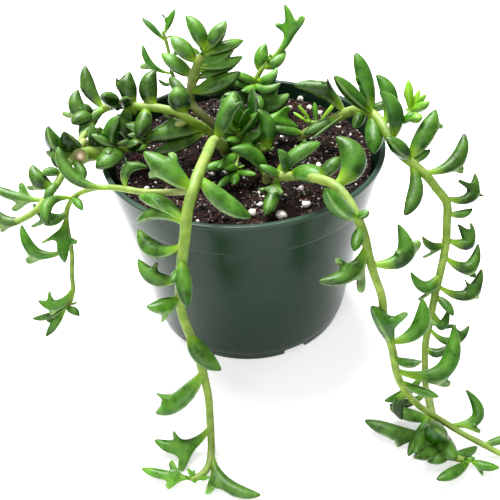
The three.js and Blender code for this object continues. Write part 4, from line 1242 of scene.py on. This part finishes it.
def stemBody(branch, knots):
    settings = stemSettings
    path, distances = pathThrough(branch["route"])
    length = distances[-1]
    rings = max(3, round(length / settings["step"]))
    spots = [pointAt(path, distances, length * n / rings) for n in range(rings + 1)]
    first, last = branch["thick"]
    nodes = [row[0] for row in branch["leaves"]]

    def radiusAt(share):
        distance = share * length
        radius = (first + (last - first) * share) / 2
        swell = max([math.exp(-((distance - at) / settings["nodeReach"]) ** 2) for at in nodes] or [0])
        radius *= 1 + settings["nodeSwell"] * swell
        for at, size in knots:
            radius = max(radius, size * math.exp(-((distance - at) / settings["knotReach"]) ** 2))
        if branch["end"] != "cut":
            left = max(0, length - distance) / (radius * settings["endTaper"])
            radius *= math.sqrt(max(0.06, 1 - max(0, 1 - left) ** 2))
        return radius * settings["skinDraw"]

    bm = bentRod(spots, radiusAt, settings["sides"], Vector((0, -1, 0.05)), {"cut": 0.0})
    if branch["end"] == "cut":
        face = min(bm.faces, key=lambda item: (item.calc_center_median() - spots[-1]).length)
        cut = layerOf(bm, "cut")
        for size, depth, share in settings["cutRings"]:
            bmesh.ops.inset_region(bm, faces=[face], thickness=size, depth=depth)
            for vert in face.verts:
                vert[cut] = share
    settle(bm, settings["rest"])
    return bm, path, distances


def budRows(draw, distance, thick):
    # the small young leaves that close round the growing end of a stem
    bud = budSettings
    size = min(bud["largest"], thick * bud["beside"])
    rows = []
    for n in range(bud["count"]):
        turn = bud["turn"] * n + draw.uniform(-bud["unevenness"], bud["unevenness"])
        reach = size * (1 - bud["shrink"] * n)
        at = distance - bud["apart"] * (bud["count"] - 1 - n)
        rows.append((at, turn, bud["rise"] + bud["riseStep"] * n, reach, reach * bud["plump"], bud["sag"], 0))
    return rows


def makeStem(name, stem, draw):
    rods = bmesh.new()
    for layer in ("along", "cut"):
        layerOf(rods, layer)
    bunches = {}
    spread, growth = leafSettings["freshSpread"], leafSettings["freshGrowth"]
    for branch in stem["branches"]:
        bunch = branch.get("bunch", "Leaves")
        if bunch not in bunches:
            bunches[bunch] = bmesh.new()
            for layer in leafLayers:
                layerOf(bunches[bunch], layer)
        leaves = bunches[bunch]
        rod, path, distances = stemBody(branch, stem.get("knots", []))
        addInto(rods, rod)
        base = branch.get("fresh", stem["fresh"])
        for row in branch["leaves"]:
            fresh = base + draw.uniform(-spread, spread) + growth * row[0] / distances[-1]
            addInto(leaves, leafBody(pointAt(path, distances, row[0]), row, fresh, draw))
        if branch["end"] == "bud":
            fresh = base + budSettings["fresher"]
            for row in budRows(draw, distances[-1], branch["thick"][1]):
                addInto(leaves, leafBody(pointAt(path, distances, row[0]), row, fresh, draw))
    bark = stemMaterial(name + "Stem", stem.get("woody", False))
    newPiece(name + "Stem", rods, bark, stem["node"], stemSettings["smoothing"])
    finish = leafMaterial(name + "Leaf", stem["bloomAndTopLight"])
    for bunch, leaves in bunches.items():
        newPiece(name + bunch, leaves, finish, stem["node"], leafSettings["smoothing"])


drawOfPlant = random.Random(leafSettings["seed"])
for name, stem in stems.items():
    makeStem(name, stem, drawOfPlant)
print("plant grown")
